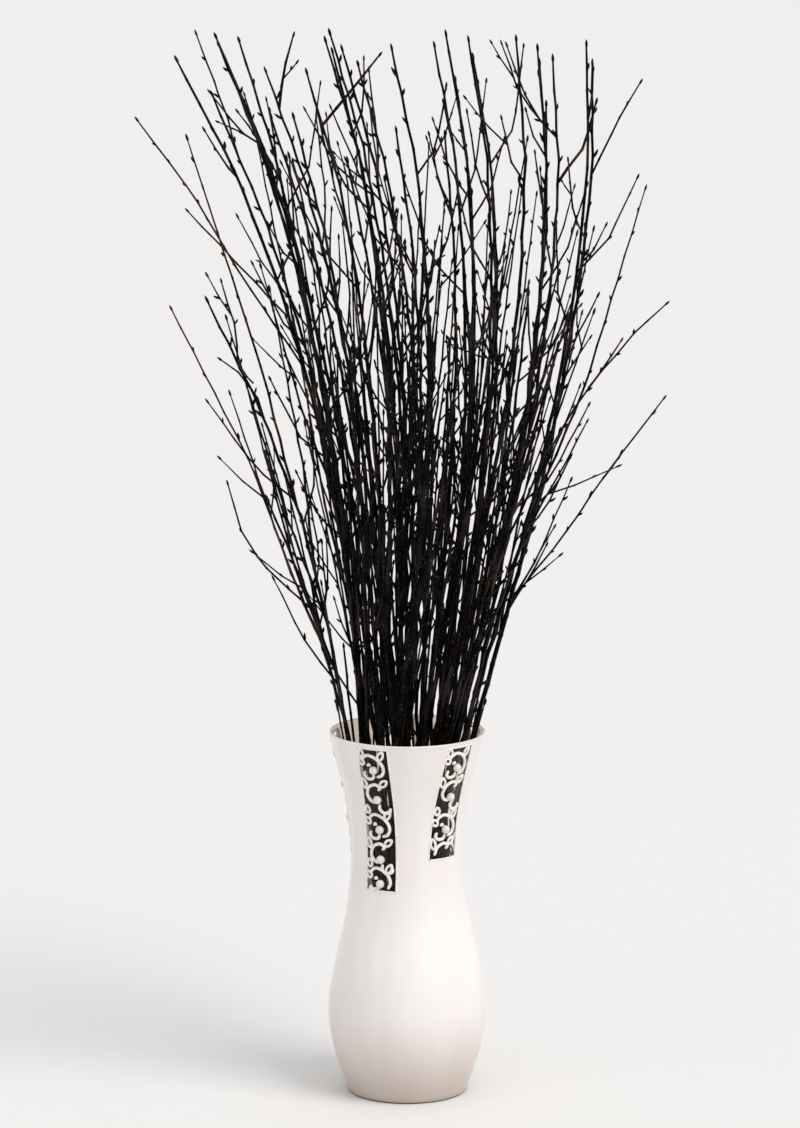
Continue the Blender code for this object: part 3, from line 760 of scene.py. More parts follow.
def skeleton(name, chains, beads):
    """Paths and bead points as one mesh: chains of edges, then loose points.

    A chain is (points, radii, tone, closed), and a bead is (place, aim, (width, depth, length), tone).
    """
    places, edges, thickness, tones = [], [], [], []
    for points, radii, tone, closed in chains:
        first = len(places)
        last = first + len(points) - 1
        edges += [(k, k + 1) for k in range(first, last)]
        if closed:
            edges.append((last, first))
        places += [tuple(p) for p in points]
        thickness += list(radii)
        tones += [tone] * len(points)
    on_paths = len(places)
    places += [tuple(place) for place, _, _, _ in beads]
    tones += [tone for _, _, _, tone in beads]
    mesh = bpy.data.meshes.new(name)
    mesh.from_pydata(places, edges, [])
    bare = np.zeros((on_paths, 3))
    aims = [aim for _, aim, _, _ in beads]
    sizes = [size for _, _, size, _ in beads]
    store(mesh, "thickness", "FLOAT", thickness + [0.0] * len(beads))
    store(mesh, "tone", "FLOAT", tones)
    store(mesh, "is_bead", "BOOLEAN", [False] * on_paths + [True] * len(beads))
    store(mesh, "aim", "FLOAT_VECTOR", np.vstack([bare] + aims))
    store(mesh, "bead_size", "FLOAT_VECTOR", np.vstack([bare] + sizes))
    made = bpy.data.objects.new(name, mesh)
    bpy.context.scene.collection.objects.link(made)
    return made


# Node trees


class Tree:
    """A node tree under construction."""

    def __init__(self, tree):
        self.tree = tree

    def node(self, kind, settings=None, sockets=None):
        """A node with its settings, then the values or links of its sockets."""
        made = self.tree.nodes.new(kind)
        for name, value in (settings or {}).items():
            if name == "curve":
                curve_points(made.mapping, value)
            else:
                setattr(made, name, value)
        for name, value in (sockets or {}).items():
            self.feed(made.inputs[name], value)
        return made

    def feed(self, socket, value):
        if isinstance(value, Value):
            value = value.socket
        if isinstance(value, bpy.types.NodeSocket):
            self.tree.links.new(value, socket)
        else:
            socket.default_value = value

    def value(self, socket):
        return Value(self, socket)

    def stored(self, kind, name):
        """A value that the mesh stores for each point."""
        return self.node(
            "GeometryNodeInputNamedAttribute", {"data_type": kind}, {"Name": name}
        ).outputs["Attribute"]


class Value:
    """A socket's number, which takes part in sums."""

    def __init__(self, tree, socket):
        self.tree = tree
        self.socket = socket

    def _math(self, operation, first, second):
        made = self.tree.node("ShaderNodeMath", {"operation": operation}, {0: first, 1: second})
        return Value(self.tree, made.outputs[0])

    def __add__(self, other):
        return self._math("ADD", self, other)

    __radd__ = __add__

    def __sub__(self, other):
        return self._math("SUBTRACT", self, other)

    def __rsub__(self, other):
        return self._math("SUBTRACT", other, self)

    def __mul__(self, other):
        return self._math("MULTIPLY", self, other)

    __rmul__ = __mul__


def curve_points(mapping, points):
    curve = mapping.curves[0]
    for _ in points[2:]:
        curve.points.new(0.5, 0.5)
    for point, (x, y) in zip(curve.points, points):
        point.location = (x, y)
    mapping.update()


def growth_tree(name, bead_outline):
    """Tubes along the chains of a skeleton, and a turned bead on each of its loose points."""
    group = bpy.data.node_groups.new(name, "GeometryNodeTree")
    rows = (
        ("Skeleton", "NodeSocketGeometry"),
        ("Path Sides", "NodeSocketInt"),
        ("Bead Sides", "NodeSocketInt"),
        ("Bead Rings", "NodeSocketInt"),
        ("Path Finish", "NodeSocketMaterial"),
        ("Bead Finish", "NodeSocketMaterial"),
    )
    for title, kind in rows:
        group.interface.new_socket(name=title, in_out="INPUT", socket_type=kind)
    group.interface.new_socket(name="Shape", in_out="OUTPUT", socket_type="NodeSocketGeometry")
    tree = Tree(group)
    given = tree.node("NodeGroupInput").outputs

    paths = tree.node("GeometryNodeMeshToCurve", sockets={"Mesh": given["Skeleton"]})
    ring = tree.node(
        "GeometryNodeCurvePrimitiveCircle", sockets={"Resolution": given["Path Sides"], "Radius": 1.0}
    )
    tubes = tree.node(
        "GeometryNodeCurveToMesh",
        sockets={
            "Curve": paths.outputs["Curve"],
            "Profile Curve": ring.outputs["Curve"],
            "Scale": tree.stored("FLOAT", "thickness"),
            "Fill Caps": True,
        },
    )

    line = tree.node(
        "GeometryNodeCurvePrimitiveLine", sockets={"Start": (0, 0, 0), "End": (0, 0, 1)}
    )
    line = tree.node(
        "GeometryNodeResampleCurve",
        sockets={"Curve": line.outputs["Curve"], "Count": given["Bead Rings"]},
    )
    along = tree.node("GeometryNodeSplineParameter")
    swell = tree.node(
        "ShaderNodeFloatCurve", {"curve": bead_outline}, {"Value": along.outputs["Factor"]}
    )
    bead_ring = tree.node(
        "GeometryNodeCurvePrimitiveCircle", sockets={"Resolution": given["Bead Sides"], "Radius": 0.5}
    )
    bead = tree.node(
        "GeometryNodeCurveToMesh",
        sockets={
            "Curve": line.outputs["Curve"],
            "Profile Curve": bead_ring.outputs["Curve"],
            "Scale": swell.outputs["Value"],
            "Fill Caps": True,
        },
    )
    is_bead = tree.stored("BOOLEAN", "is_bead")
    aim = tree.stored("FLOAT_VECTOR", "aim")
    turned = tree.node("FunctionNodeAlignRotationToVector", {"axis": "Z"}, {"Vector": aim})
    spots = tree.node(
        "GeometryNodeMeshToPoints", sockets={"Mesh": given["Skeleton"], "Selection": is_bead}
    )
    beads = tree.node(
        "GeometryNodeInstanceOnPoints",
        sockets={
            "Points": spots.outputs["Points"],
            "Instance": bead.outputs["Mesh"],
            "Rotation": turned.outputs["Rotation"],
            "Scale": tree.stored("FLOAT_VECTOR", "bead_size"),
        },
    )
    joined = tree.node("GeometryNodeJoinGeometry", sockets={"Geometry": beads.outputs["Instances"]})
    tree.feed(joined.inputs["Geometry"], tubes.outputs["Mesh"])
    real = tree.node("GeometryNodeRealizeInstances", sockets={"Geometry": joined.outputs["Geometry"]})
    smooth = tree.node(
        "GeometryNodeSetShadeSmooth",
        sockets={"Geometry": real.outputs["Geometry"], "Shade Smooth": True},
    )
    on_paths = tree.node(
        "GeometryNodeSetMaterial",
        sockets={"Geometry": smooth.outputs["Geometry"], "Material": given["Path Finish"]},
    )
    on_beads = tree.node(
        "GeometryNodeSetMaterial",
        sockets={
            "Geometry": on_paths.outputs["Geometry"],
            "Selection": is_bead,
            "Material": given["Bead Finish"],
        },
    )
    tree.node("NodeGroupOutput", sockets={"Shape": on_beads.outputs["Geometry"]})
    return group


def grown(name, bones, group, inputs):
    """The skeleton run through the tree, as one plain mesh object. The skeleton is used up."""
    modifier = bones.modifiers.new("growth", "NODES")
    modifier.node_group = group
    for item in group.interface.items_tree:
        if item.in_out == "INPUT" and item.name in inputs:
            modifier[item.identifier] = inputs[item.name]
    bpy.context.view_layer.update()
    graph = bpy.context.evaluated_depsgraph_get()
    mesh = bpy.data.meshes.new_from_object(bones.evaluated_get(graph))
    bpy.data.objects.remove(bones)
    return plain(name, mesh)


def plain(name, mesh):
    """A mesh made an object of the scene, with its faces pointing out."""
    mesh.name = name
    edited = bmesh.new()
    edited.from_mesh(mesh)
    if edited.calc_volume(signed=True) < 0:
        bmesh.ops.reverse_faces(edited, faces=edited.faces)
    edited.to_mesh(mesh)
    edited.free()
    made = bpy.data.objects.new(name, mesh)
    bpy.context.scene.collection.objects.link(made)
    return made


# Materials


# A mix node's sockets for colours: two in, one out
MIX_FIRST = 6
MIX_SECOND = 7
MIX_OUT = 2


def mixed(tree, factor, first, second):
    """A colour between two, each one a link or a plain colour."""
    linked = bpy.types.NodeSocket
    ends = [end if isinstance(end, linked) else (*end, 1) for end in (first, second)]
    made = tree.node(
        "ShaderNodeMix",
        {"data_type": "RGBA"},
        {"Factor": factor, MIX_FIRST: ends[0], MIX_SECOND: ends[1]},
    )
    return made.outputs[MIX_OUT]


def new_material(name):
    made = bpy.data.materials.new(name)
    made.use_nodes = True
    made.node_tree.nodes.clear()
    return made, Tree(made.node_tree)


def finish_surface(tree, sockets):
    shader = tree.node("ShaderNodeBsdfPrincipled", sockets=sockets)
    tree.node("ShaderNodeOutputMaterial", sockets={"Surface": shader.outputs["BSDF"]})


def noise(tree, place, scale, detail=3.0, roughness=0.55):
    made = tree.node(
        "ShaderNodeTexNoise",
        sockets={"Vector": place, "Scale": scale, "Detail": detail, "Roughness": roughness},
    )
    return tree.value(made.outputs["Fac"])


def between(tree, value, low, high):
    """0 below low, 1 above high, smooth between."""
    made = tree.node(
        "ShaderNodeMapRange",
        {"interpolation_type": "SMOOTHSTEP"},
        {"Value": value, "From Min": low, "From Max": high},
    )
    return tree.value(made.outputs["Result"])


def object_place(tree):
    return tree.node("ShaderNodeTexCoord").outputs["Object"]


def height_of(tree, place):
    return tree.value(tree.node("ShaderNodeSeparateXYZ", sockets={0: place}).outputs["Z"])


def stretched(tree, place, scale):
    return tree.node("ShaderNodeMapping", sockets={"Vector": place, "Scale": scale}).outputs["Vector"]


def bumped(tree, height, strength, distance):
    made = tree.node(
        "ShaderNodeBump", sockets={"Height": height, "Strength": strength, "Distance": distance}
    )
    return made.outputs["Normal"]


def bark_material(looks):
    made, tree = new_material("birch_bark")
    place = object_place(tree)
    tone = tree.value(tree.node("ShaderNodeAttribute", {"attribute_name": "tone"}).outputs["Fac"])
    patches = noise(tree, place, 34.0, 4.0)
    ridges = noise(tree, stretched(tree, place, (1.0, 1.0, 0.22)), 900.0, 4.0)
    specks = tree.node(
        "ShaderNodeTexVoronoi",
        sockets={"Vector": stretched(tree, place, (1.0, 1.0, 0.6)), "Scale": 420.0},
    )
    speck = 1.0 - between(tree, specks.outputs["Distance"], 0.13, 0.22)
    reddish = between(tree, patches + 0.50 * tone, 0.74, 1.02)
    colour = mixed(tree, reddish, looks.bark, looks.young_bark)
    colour = mixed(tree, 0.14 * ridges, colour, BARK_RIDGES)
    colour = mixed(tree, 0.45 * speck, colour, looks.lenticels)
    finish_surface(
        tree,
        {
            "Base Color": colour,
            "Roughness": 0.26 + 0.22 * ridges + 0.10 * patches,
            "Specular IOR Level": 0.04,
            "Coat Weight": 0.34 * between(tree, patches, 0.46, 0.66),
            "Coat Roughness": 0.22,
            "Normal": bumped(tree, ridges + 0.5 * speck, 0.45, 0.0004),
        },
    )
    return made


def coat_material(looks):
    made, tree = new_material("milk_white_coat")
    place = object_place(tree)
    height = height_of(tree, place)
    streaks = noise(tree, stretched(tree, place, (1.0, 1.0, 0.10)), 46.0, 2.0)
    cloud = noise(tree, place, 11.0, 2.0)
    grain = noise(tree, place, 1400.0, 2.0)
    # Mask of the painted shade and table reflection that darken the coat low down
    low = 1.0 - between(tree, height + 0.012 * cloud, *LOW_PAINTED_SHADE)
    # Paler vertical streaks, painted as reflections
    painted_streak_sheen = between(tree, streaks, 0.36, 0.64)
    # A painted highlight makes the belly paler
    belly = between(tree, height, *BELLY_HIGHLIGHT_STARTS) * (1.0 - between(tree, height, *BELLY_HIGHLIGHT_ENDS))
    # The paler colour mixes in the coat's random clouds, its painted streak reflections and the
    # painted belly highlight
    pale = 0.30 * painted_streak_sheen + 0.20 * cloud + 0.44 * belly
    colour = mixed(tree, pale, looks.coat, looks.coat_clouds_and_painted_sheen)
    colour = mixed(tree, 0.85 * low, colour, looks.coat_low_painted_shade)
    finish_surface(
        tree,
        {
            "Base Color": colour,
            "Roughness": 0.20 + 0.10 * streaks,
            "Coat Weight": 0.6,
            "Coat Roughness": 0.11,
            "Normal": bumped(tree, cloud + 0.03 * grain, 0.25, 0.0015),
        },
    )
    return made


# The inside of the coat glows with painted light, for light that comes through the thin coat and down
# the mouth; it is brighter higher up
def coat_inside_material(looks):
    made, tree = new_material("coat_inside_painted_glow")
    place = object_place(tree)
    height = height_of(tree, place)
    cloud = noise(tree, place, 30.0, 2.0)
    lit = between(tree, height + 0.01 * cloud, *LIT_INSIDE)
    finish_surface(
        tree,
        {
            "Base Color": mixed(tree, cloud, looks.coat, COAT_INSIDE),
            "Roughness": 0.45 + 0.1 * cloud,
            "Emission Color": mixed(tree, lit, INSIDE_GLOW_LOW, INSIDE_GLOW_HIGH),
            "Emission Strength": 1.0,
        },
    )
    return made


def glass_material(looks):
    made, tree = new_material("clear_glass")
    place = object_place(tree)
    waves = noise(tree, stretched(tree, place, (1.0, 1.0, 0.35)), 26.0, 2.0)
    dust = noise(tree, place, 160.0, 5.0)
    finish_surface(
        tree,
        {
            "Base Color": mixed(tree, dust, looks.glass, DUSTY_GLASS),
            "Roughness": 0.012 + 0.03 * dust,
            "Transmission Weight": 1.0,
            "Specular Tint": (0.25, 0.25, 0.25, 1),
            "IOR": 1.46,
            "Normal": bumped(tree, waves, 0.12, 0.002),
        },
    )
    return made


def paste_material(looks):
    made, tree = new_material("scroll_paste")
    place = object_place(tree)
    lumps = noise(tree, place, 420.0, 3.0)
    fine = noise(tree, place, 2200.0, 2.0)
    # Darker paste in random patches
    colour = mixed(tree, between(tree, lumps, 0.35, 0.75), looks.paste, PASTE_DARKER_PATCHES)
    finish_surface(
        tree,
        {
            "Base Color": colour,
            "Roughness": 0.30 + 0.16 * fine,
            "Normal": bumped(tree, lumps + 0.3 * fine, 0.35, 0.0004),
        },
    )
    return made


def pearl_material(looks):
    made, tree = new_material("pearl_bead")
    place = object_place(tree)
    cloud = noise(tree, place, 260.0, 2.0)
    finish_surface(
        tree,
        {
            "Base Color": mixed(tree, cloud, looks.pearl, PEARL_CLOUDS),
            "Roughness": 0.12 + 0.12 * cloud,
            "Coat Weight": 0.5,
            "Normal": bumped(tree, cloud, 0.10, 0.0004),
        },
    )
    return made


# The vase


def lathe(name, outline, steps, closed):
    """A (radius, height) outline turned round the axis; a closed one comes back to its start."""
    angles = np.arange(steps) * math.tau / steps
    places, faces, rings = [], [], []
    for r, z in outline:
        if r == 0:
            rings.append([len(places)] * steps)
            places.append((0, 0, z))
        else:
            rings.append(range(len(places), len(places) + steps))
            places += [(r * math.sin(a), -r * math.cos(a), z) for a in angles]
    pairs = list(zip(rings, rings[1:]))
    if closed:
        pairs.append((rings[-1], rings[0]))
    for low, high in pairs:
        for k in range(steps):
            j = (k + 1) % steps
            corners = (low[k], low[j], high[j], high[k])
            faces.append(tuple(dict.fromkeys(corners)))
    mesh = bpy.data.meshes.new(name)
    mesh.from_pydata(places, [], faces)
    mesh.shade_smooth()
    return mesh


def arc_points(centre, radius, first, last, count):
    """Points of a circle's arc in the (radius, height) plane, angles in degrees from outwards."""
    angles = [math.radians(first + (last - first) * k / count) for k in range(count + 1)]
    return [(centre[0] + radius * math.cos(a), centre[1] + radius * math.sin(a)) for a in angles]


def glass_outline(rows):
    """From the middle of the floor inside, over the lip and down the outside to the foot."""
    half = RIM_GLASS / 2
    rim = (wall(VASE_HEIGHT) - half, VASE_HEIGHT - half)
    inside = [FLOOR + FLOOR_CORNER + (rim[1] - FLOOR - FLOOR_CORNER) * k / rows for k in range(rows)]
    outline = [(0, FLOOR)]
    corner = (inner_wall(FLOOR) - FLOOR_CORNER, FLOOR + FLOOR_CORNER)
    outline += arc_points(corner, FLOOR_CORNER, -90, 0, CORNER_TURNS)
    outline += [(inner_wall(z), z) for z in inside[1:]]
    outline += lip_points(LIP_TURNS, 0)
    step = (rim[1] - FOOT_EDGE) / rows
    outline += [(wall(rim[1] - step * k) - COAT, rim[1] - step * k) for k in range(1, rows + 1)]
    outline += [(wall(0) - FOOT_EDGE, 0), (0, 0)]
    return outline


def lip_points(first, sink):
    """The glass's rounded lip, from an angle round to its outer side, thinner under the coat."""
    half = RIM_GLASS / 2
    points = []
    for k in range(first + 1):
        share = (first - k) / LIP_TURNS
        radius = half - COAT * (1 - share) - sink
        a = math.pi * share
        middle = wall(VASE_HEIGHT) - half
        points.append((middle + radius * math.cos(a), VASE_HEIGHT - half + radius * math.sin(a)))
    return points


def coat_outline(rows):
    """The shell of the coat: up the outside, over the lip, and back just inside the glass's face."""
    half = RIM_GLASS / 2
    bottom, top = FOOT_EDGE, VASE_HEIGHT - half
    heights = [bottom + (top - bottom) * k / rows for k in range(rows + 1)]
    edge = COAT_EDGE * COAT
    outside = [(wall(bottom) - edge, bottom), (wall(bottom + edge), bottom + edge)]
    outside += [(wall(z), z) for z in heights[1:]]
    over = math.degrees(math.pi * COAT_OVER_LIP / LIP_TURNS)
    outside += arc_points((wall(VASE_HEIGHT) - half, top), half, 0, over, COAT_OVER_LIP)[1:]
    inside = [(wall(z) - COAT - COAT_SINKS, z) for z in heights]
    return outside + lip_points(COAT_OVER_LIP, COAT_SINKS)[:-1] + inside[::-1]


def window_slab(window, collection):
    """A curved slab as wide and as tall as a window, to be cut from the coat."""
    bottom = window[2]
    rows = round((WINDOW_TOP - bottom) / SLAB_ROW)
    columns = SLAB_COLUMNS
    places = []
    for outward in (-COAT - SLAB_SINKS, SLAB_PROUD):
        for j in range(rows + 1):
            z = bottom + (WINDOW_TOP - bottom) * j / rows
            for i in range(columns + 1):
                places.append(on_wall(window, (i / columns - 0.5) * WINDOW_WIDTH, z, outward))
    wide = columns + 1
    layer = wide * (rows + 1)
    faces = []
    for j in range(rows):
        for i in range(columns):
            a = j * wide + i
            square = (a, a + 1, a + wide + 1, a + wide)
            faces.append(square[::-1])
            faces.append(tuple(k + layer for k in square))
    ring = [*range(columns)] + [j * wide + columns for j in range(rows)]
    ring += [rows * wide + i for i in range(columns, 0, -1)] + [j * wide for j in range(rows, 0, -1)]
    for a, b in zip(ring, ring[1:] + ring[:1]):
        faces.append((a, b, b + layer, a + layer))
    mesh = bpy.data.meshes.new("window_slab")
    mesh.from_pydata(places, [], faces)
    made = plain("window_slab", mesh)
    bpy.context.scene.collection.objects.unlink(made)
    collection.objects.link(made)
    return made


def windows_cut_from(shell, context):
    """The mesh of the coat's shell with its windows cut out. The shell itself is used up."""
    slabs = bpy.data.collections.new("window_slabs")
    context.scene.collection.children.link(slabs)
    for window in WINDOWS:
        window_slab(window, slabs)
    cut = shell.modifiers.new("windows", "BOOLEAN")
    cut.operation = "DIFFERENCE"
    cut.operand_type = "COLLECTION"
    cut.collection = slabs
    cut.solver = "EXACT"
    context.view_layer.update()
    graph = context.evaluated_depsgraph_get()
    mesh = bpy.data.meshes.new_from_object(shell.evaluated_get(graph))
    for spent in [shell, *slabs.objects]:
        bpy.data.objects.remove(spent)
    bpy.data.collections.remove(slabs)
    return mesh


def attach(piece, slot, *nodes):
    """The piece rides on the one body and stands for its nodes."""
    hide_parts(*nodes)
    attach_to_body(piece, "root")


def count_property(title, words, default, least):
    return bpy.props.IntProperty(name=title, description=words, default=default, min=least)


def length_property(title, words, default):
    return bpy.props.FloatProperty(name=title, description=words, default=default, unit="LENGTH")


def colour_property(title, words, default):
    return bpy.props.FloatVectorProperty(
        name=title, description=words, default=default, subtype="COLOR", size=3, min=0, max=1
    )


class VaseSizes(bpy.types.PropertyGroup):
    steps: count_property("Steps round", "Flat sides round the vase", 192, 32)
    rows: count_property("Rows up", "Rows of faces from the foot to the rim", 72, 12)
    stroke_radius: length_property("Stroke radius", "Radius of a scroll stroke", 0.00135)
    border_radius: length_property("Border radius", "Radius of a window's border line", 0.0008)
    pearl_radius: length_property("Pearl radius", "Radius of a pearl", 0.0035)


class BranchSizes(bpy.types.PropertyGroup):
    stem_sides: count_property("Stem sides", "Flat sides round a branch", 7, 3)
    bud_sides: count_property("Bud sides", "Flat sides round a bud", 5, 3)
    bud_length: length_property("Bud length", "Length of a bud on a stem", 0.0070)
    bud_width: length_property("Bud width", "Width of a bud on a stem", 0.0025)


class Looks(bpy.types.PropertyGroup):
    coat: colour_property("Coat", "Milk-white coat of the vase", (0.770, 0.722, 0.698))
    # Paler colour of the coat's random clouds, its painted streak reflections and its painted belly
    # highlight
    coat_clouds_and_painted_sheen: colour_property("Coat clouds and painted sheen", "Paler clouds of the coat, and its painted streak reflections and belly highlight", (0.865, 0.832, 0.838))
    # Colour of the painted shade and table reflection low on the vase
    coat_low_painted_shade: colour_property("Coat low down", "Painted shade and table reflection low on the vase", (0.40, 0.315, 0.25))
    glass: colour_property("Glass", "Clear glass", (0.97, 0.965, 0.95))
    paste: colour_property("Scroll paste", "Raised white scrollwork", (0.90, 0.87, 0.83))
    pearl: colour_property("Pearls", "Half-round pearls", (0.80, 0.75, 0.72))
    bark: colour_property("Bark", "Near-black bark", (0.0009, 0.0007, 0.0009))
    young_bark: colour_property("Young bark", "Red-brown bark of some twigs", (0.040, 0.011, 0.008))
    lenticels: colour_property("Lenticels", "Pale specks on the bark", (0.13, 0.10, 0.085))
    floor: colour_property("Floor", "Pale floor of the studio", (0.85, 0.84, 0.835))


class VASE_OT_glass(bpy.types.Operator):
    """Turn the clear glass of the vase with its polished lip"""

    bl_idname = "vase.glass"
    bl_label = "Glass"

    def execute(self, context):
        sizes = context.scene.vase_sizes
        mesh = lathe("vase_glass", glass_outline(sizes.rows), sizes.steps, False)
        mesh.materials.append(glass_material(context.scene.vase_looks))
        attach(plain("vase_glass", mesh), "coated_glass", "vase")
        return {"FINISHED"}


class VASE_OT_coat(bpy.types.Operator):
    """Lay the milk-white coat on the glass, with its five windows left open"""

    bl_idname = "vase.coat"
    bl_label = "Milk-white coat"

    def execute(self, context):
        sizes = context.scene.vase_sizes
        shell = lathe("vase_coat", coat_outline(sizes.rows), sizes.steps, True)
        mesh = windows_cut_from(plain("coat_shell", shell), context)
        mesh.shade_smooth()
        mesh.set_sharp_from_angle(angle=SHARP_ABOVE)
        mesh.materials.clear()
        mesh.materials.append(coat_material(context.scene.vase_looks))
        mesh.materials.append(coat_inside_material(context.scene.vase_looks))
        # Inward faces below the lip take the painted glow of the coat's inside
        for face in mesh.polygons:
            inward = face.normal.xy.dot(face.center.xy) < 0
            face.material_index = int(inward and face.center.z < VASE_HEIGHT - RIM_GLASS / 2)
        attach(plain("vase_coat", mesh), "coated_glass", "vase")
        return {"FINISHED"}


def smooth_path(points, step, closed=False):
    """Points at even steps along a smooth curve through the given ones."""
    given = [np.array(p, float) for p in points]
    count = len(given)
    if closed:
        around = [given[-1], *given, given[0], given[1]]
        spans = count
    else:
        around = [2 * given[0] - given[1], *given, 2 * given[-1] - given[-2]]
        spans = count - 1
    made = []
    for k in range(spans):
        a, b, c, d = around[k:k + 4]
        pieces = max(1, round(float(np.linalg.norm(c - b)) / step))
        for j in range(pieces):
            t = j / pieces
            bend = (2 * a - 5 * b + 4 * c - d) * t**2 + (3 * b - a - 3 * c + d) * t**3
            made.append(0.5 * (2 * b + (c - a) * t + bend))
    if not closed:
        made.append(given[-1])
    return np.array(made)


def leaf_loop(centre, tip):
    """A small pointed loop round its centre, towards its tip."""
    way = np.subtract(tip, centre)
    side = LOOP_HALF_WIDTH * unit(np.array([-way[1], way[0]]))
    points = []
    for k in range(LOOP_POINTS):
        a = math.tau * k / LOOP_POINTS
        pinch = 1 - LOOP_PINCH * max(0, math.cos(a))
        points.append(centre + math.cos(a) * way + math.sin(a) * pinch * side)
    return points


def border_line(length):
    """The closed border of a window as (across, down) points."""
    side = WINDOW_WIDTH / 2 - BORDER_INSET
    corners = ((-side, BORDER_TOP), (-side, length), (side, length), (side, BORDER_TOP))
    border = []
    for (a, b), (c, d) in zip(corners, corners[1:] + corners[:1]):
        pieces = max(1, round(math.hypot(c - a, d - b) / BORDER_STEP))
        border += [(a + (c - a) * k / pieces, b + (d - b) * k / pieces) for k in range(pieces)]
    return np.array(border)


def window_strokes(length, sizes):
    """The strokes of a window as (points in the flat, radii, closed), and its pearls' drops."""
    border = border_line(length)
    strokes = [(border, np.full(len(border), sizes.border_radius), True)]
    pearls = LONG_DROPS if length > LONG_DROPS[-1] else SHORT_DROPS
    motifs = pearls if pearls is LONG_DROPS else (*pearls, SHORT_CUT_DROP)
    for turn, pearl in enumerate(motifs):
        motif = NEXT_MOTIF if turn % 2 else FIRST_MOTIF
        lines = [(line, False) for line in motif["strokes"]]
        lines += [(leaf_loop(*leaf), True) for leaf in motif["loops"]]
        for line, closed in lines:
            flat = np.array(line) / 1000 + (0, pearl)
            if closed:
                flat[:, 1] += max(0, LOOPS_FROM - flat[:, 1].min())
                fits = flat[:, 1].max() <= length
            else:
                flat = flat[(flat[:, 1] > STROKES_FROM) & (flat[:, 1] < length - STROKES_END)]
                fits = len(flat) > 2
            if not fits:
                continue
            path = smooth_path(flat, SCROLL_STEP, closed)
            thick = np.full(len(path), sizes.stroke_radius)
            if closed:
                thick *= LOOP_THINNER
            else:
                ends = np.minimum(np.arange(len(path)), np.arange(len(path))[::-1])
                thick *= np.interp(ends, range(len(STROKE_ENDS)), STROKE_ENDS)
            strokes.append((path, thick, closed))
    return strokes, pearls


class VASE_OT_scrollwork(bpy.types.Operator):
    """Pipe the border, scrolls and pearls of each window on to the glass"""

    bl_idname = "vase.scrollwork"
    bl_label = "Scrollwork"

    def execute(self, context):
        sizes = context.scene.vase_sizes
        looks = context.scene.vase_looks
        paste, pearl_finish = paste_material(looks), pearl_material(looks)
        group = growth_tree("piped_scrollwork", PEARL_OUTLINE)
        for number, window in enumerate(WINDOWS, 1):
            strokes, pearls = window_strokes(WINDOW_TOP - window[2], sizes)
            chains = []
            for path, radii, closed in strokes:
                raised = STROKE_RAISED * float(radii.max()) - COAT
                points = [on_wall(window, a, WINDOW_TOP - d, raised) for a, d in path]
                chains.append((points, radii, 0.0, closed))
            beads = []
            for down in pearls:
                sunk = -PEARL_SINKS * sizes.pearl_radius
                base, over = (np.array(on_wall(window, 0, WINDOW_TOP - down, k)) for k in (sunk, 0))
                beads.append((base, unit(over - base), [2 * sizes.pearl_radius] * 3, 0.0))
            bones = skeleton("scroll_bones", chains, beads)
            inputs = {
                "Path Sides": SCROLL_SIDES,
                "Bead Sides": PEARL_SIDES,
                "Bead Rings": PEARL_RINGS,
                "Path Finish": paste,
                "Bead Finish": pearl_finish,
            }
            piece = grown(f"window_scrollwork_{number}", bones, group, inputs)
            attach(piece, "relief", f"scrollwork_{number}")
        return {"FINISHED"}


# The branches


def in_box(points):
    low, high = (np.array(corner) for corner in CAD_BOX)
    spare = (BOX_SPARE, BOX_SPARE, BOX_SPARE_ABOVE)
    return bool((points.min(axis=0) > low + spare).all() and (points.max(axis=0) < high - spare).all())


def at_share(points, share):
    """The point at a share of a path's length, and the direction there."""
    steps = np.linalg.norm(np.diff(points, axis=0), axis=1)
    along = np.append(0, np.cumsum(steps)) / steps.sum()
    span = min(len(steps) - 1, int(np.searchsorted(along, share, side="right")) - 1)
    return followed(points, along, share), (points[span + 1] - points[span]) / steps[span]


def grow_fine(thicket, hosts, rng, rule):
    """More twigs by one rule on the hosts, each as (branch, points, radii)."""
    low, high = rule.roots
    past = int(rule.root_zone / SAMPLE_STEP)
    twigs = []
    for turn in range(rule.rounds):
        for parent, host in hosts:
            for attempt in range(FINE_TRIES):
                share = low + (high - low) * (turn + rng.uniform(0, 1)) / rule.rounds
                root, up = at_share(host, share)
                way = square_to(up, rng.uniform(0, math.tau))
                shortened = 1 - TWIG_SHORTENS * attempt / FINE_TRIES
                length = rng.uniform(*rule.lengths) * shortened
                angle = math.radians(rng.uniform(*rule.leaves_at))
                points = curved_twig(root, way, up, length, angle, rule.keeps)
                radii = tapered(points, *rule.radii)
                if not in_box(points) or not in_glass(points, radii):
                    continue
                if thicket.room(points, radii, parent) < FINE_CLEAR:
                    continue
                samples, thickness = sampled(points, radii)
                free = min(past, len(samples) - 2)
                if thicket.room(samples[free:], thickness[free:]) > FINE_CLEAR:
                    thicket.add(points, radii, parent)
                    twigs.append((parent, points, radii))
                    break
    return twigs


def seen_forks(stems):
    """The listed forks, each on the stem that stands nearest as seen from the front."""
    twigs = []
    for line in SEEN_FORKS:
        x, z = line[0]
        found = []
        for parent, (points, _) in enumerate(stems):
            if points[-1, 2] < z + FORK_BELOW_TIP:
                continue
            for height in (z - FORK_SLIDE, z, z + FORK_SLIDE):
                place = at_height(points, height)
                seen = as_placed(x, z, place[1])
                miss = math.hypot(place[0] - seen[0], height - seen[1])
                found.append((miss, parent, place))
        _, parent, root = min(found, key=lambda spot: spot[0])
        points = [root]
        for x, z in line[1:]:
            seen_x, seen_z = as_placed(x, z, root[1])
            points.append(np.array([seen_x, root[1], seen_z]))
        points = np.array(points)
        twigs.append((parent, points, tapered(points, *FORK_RADII)))
    return twigs


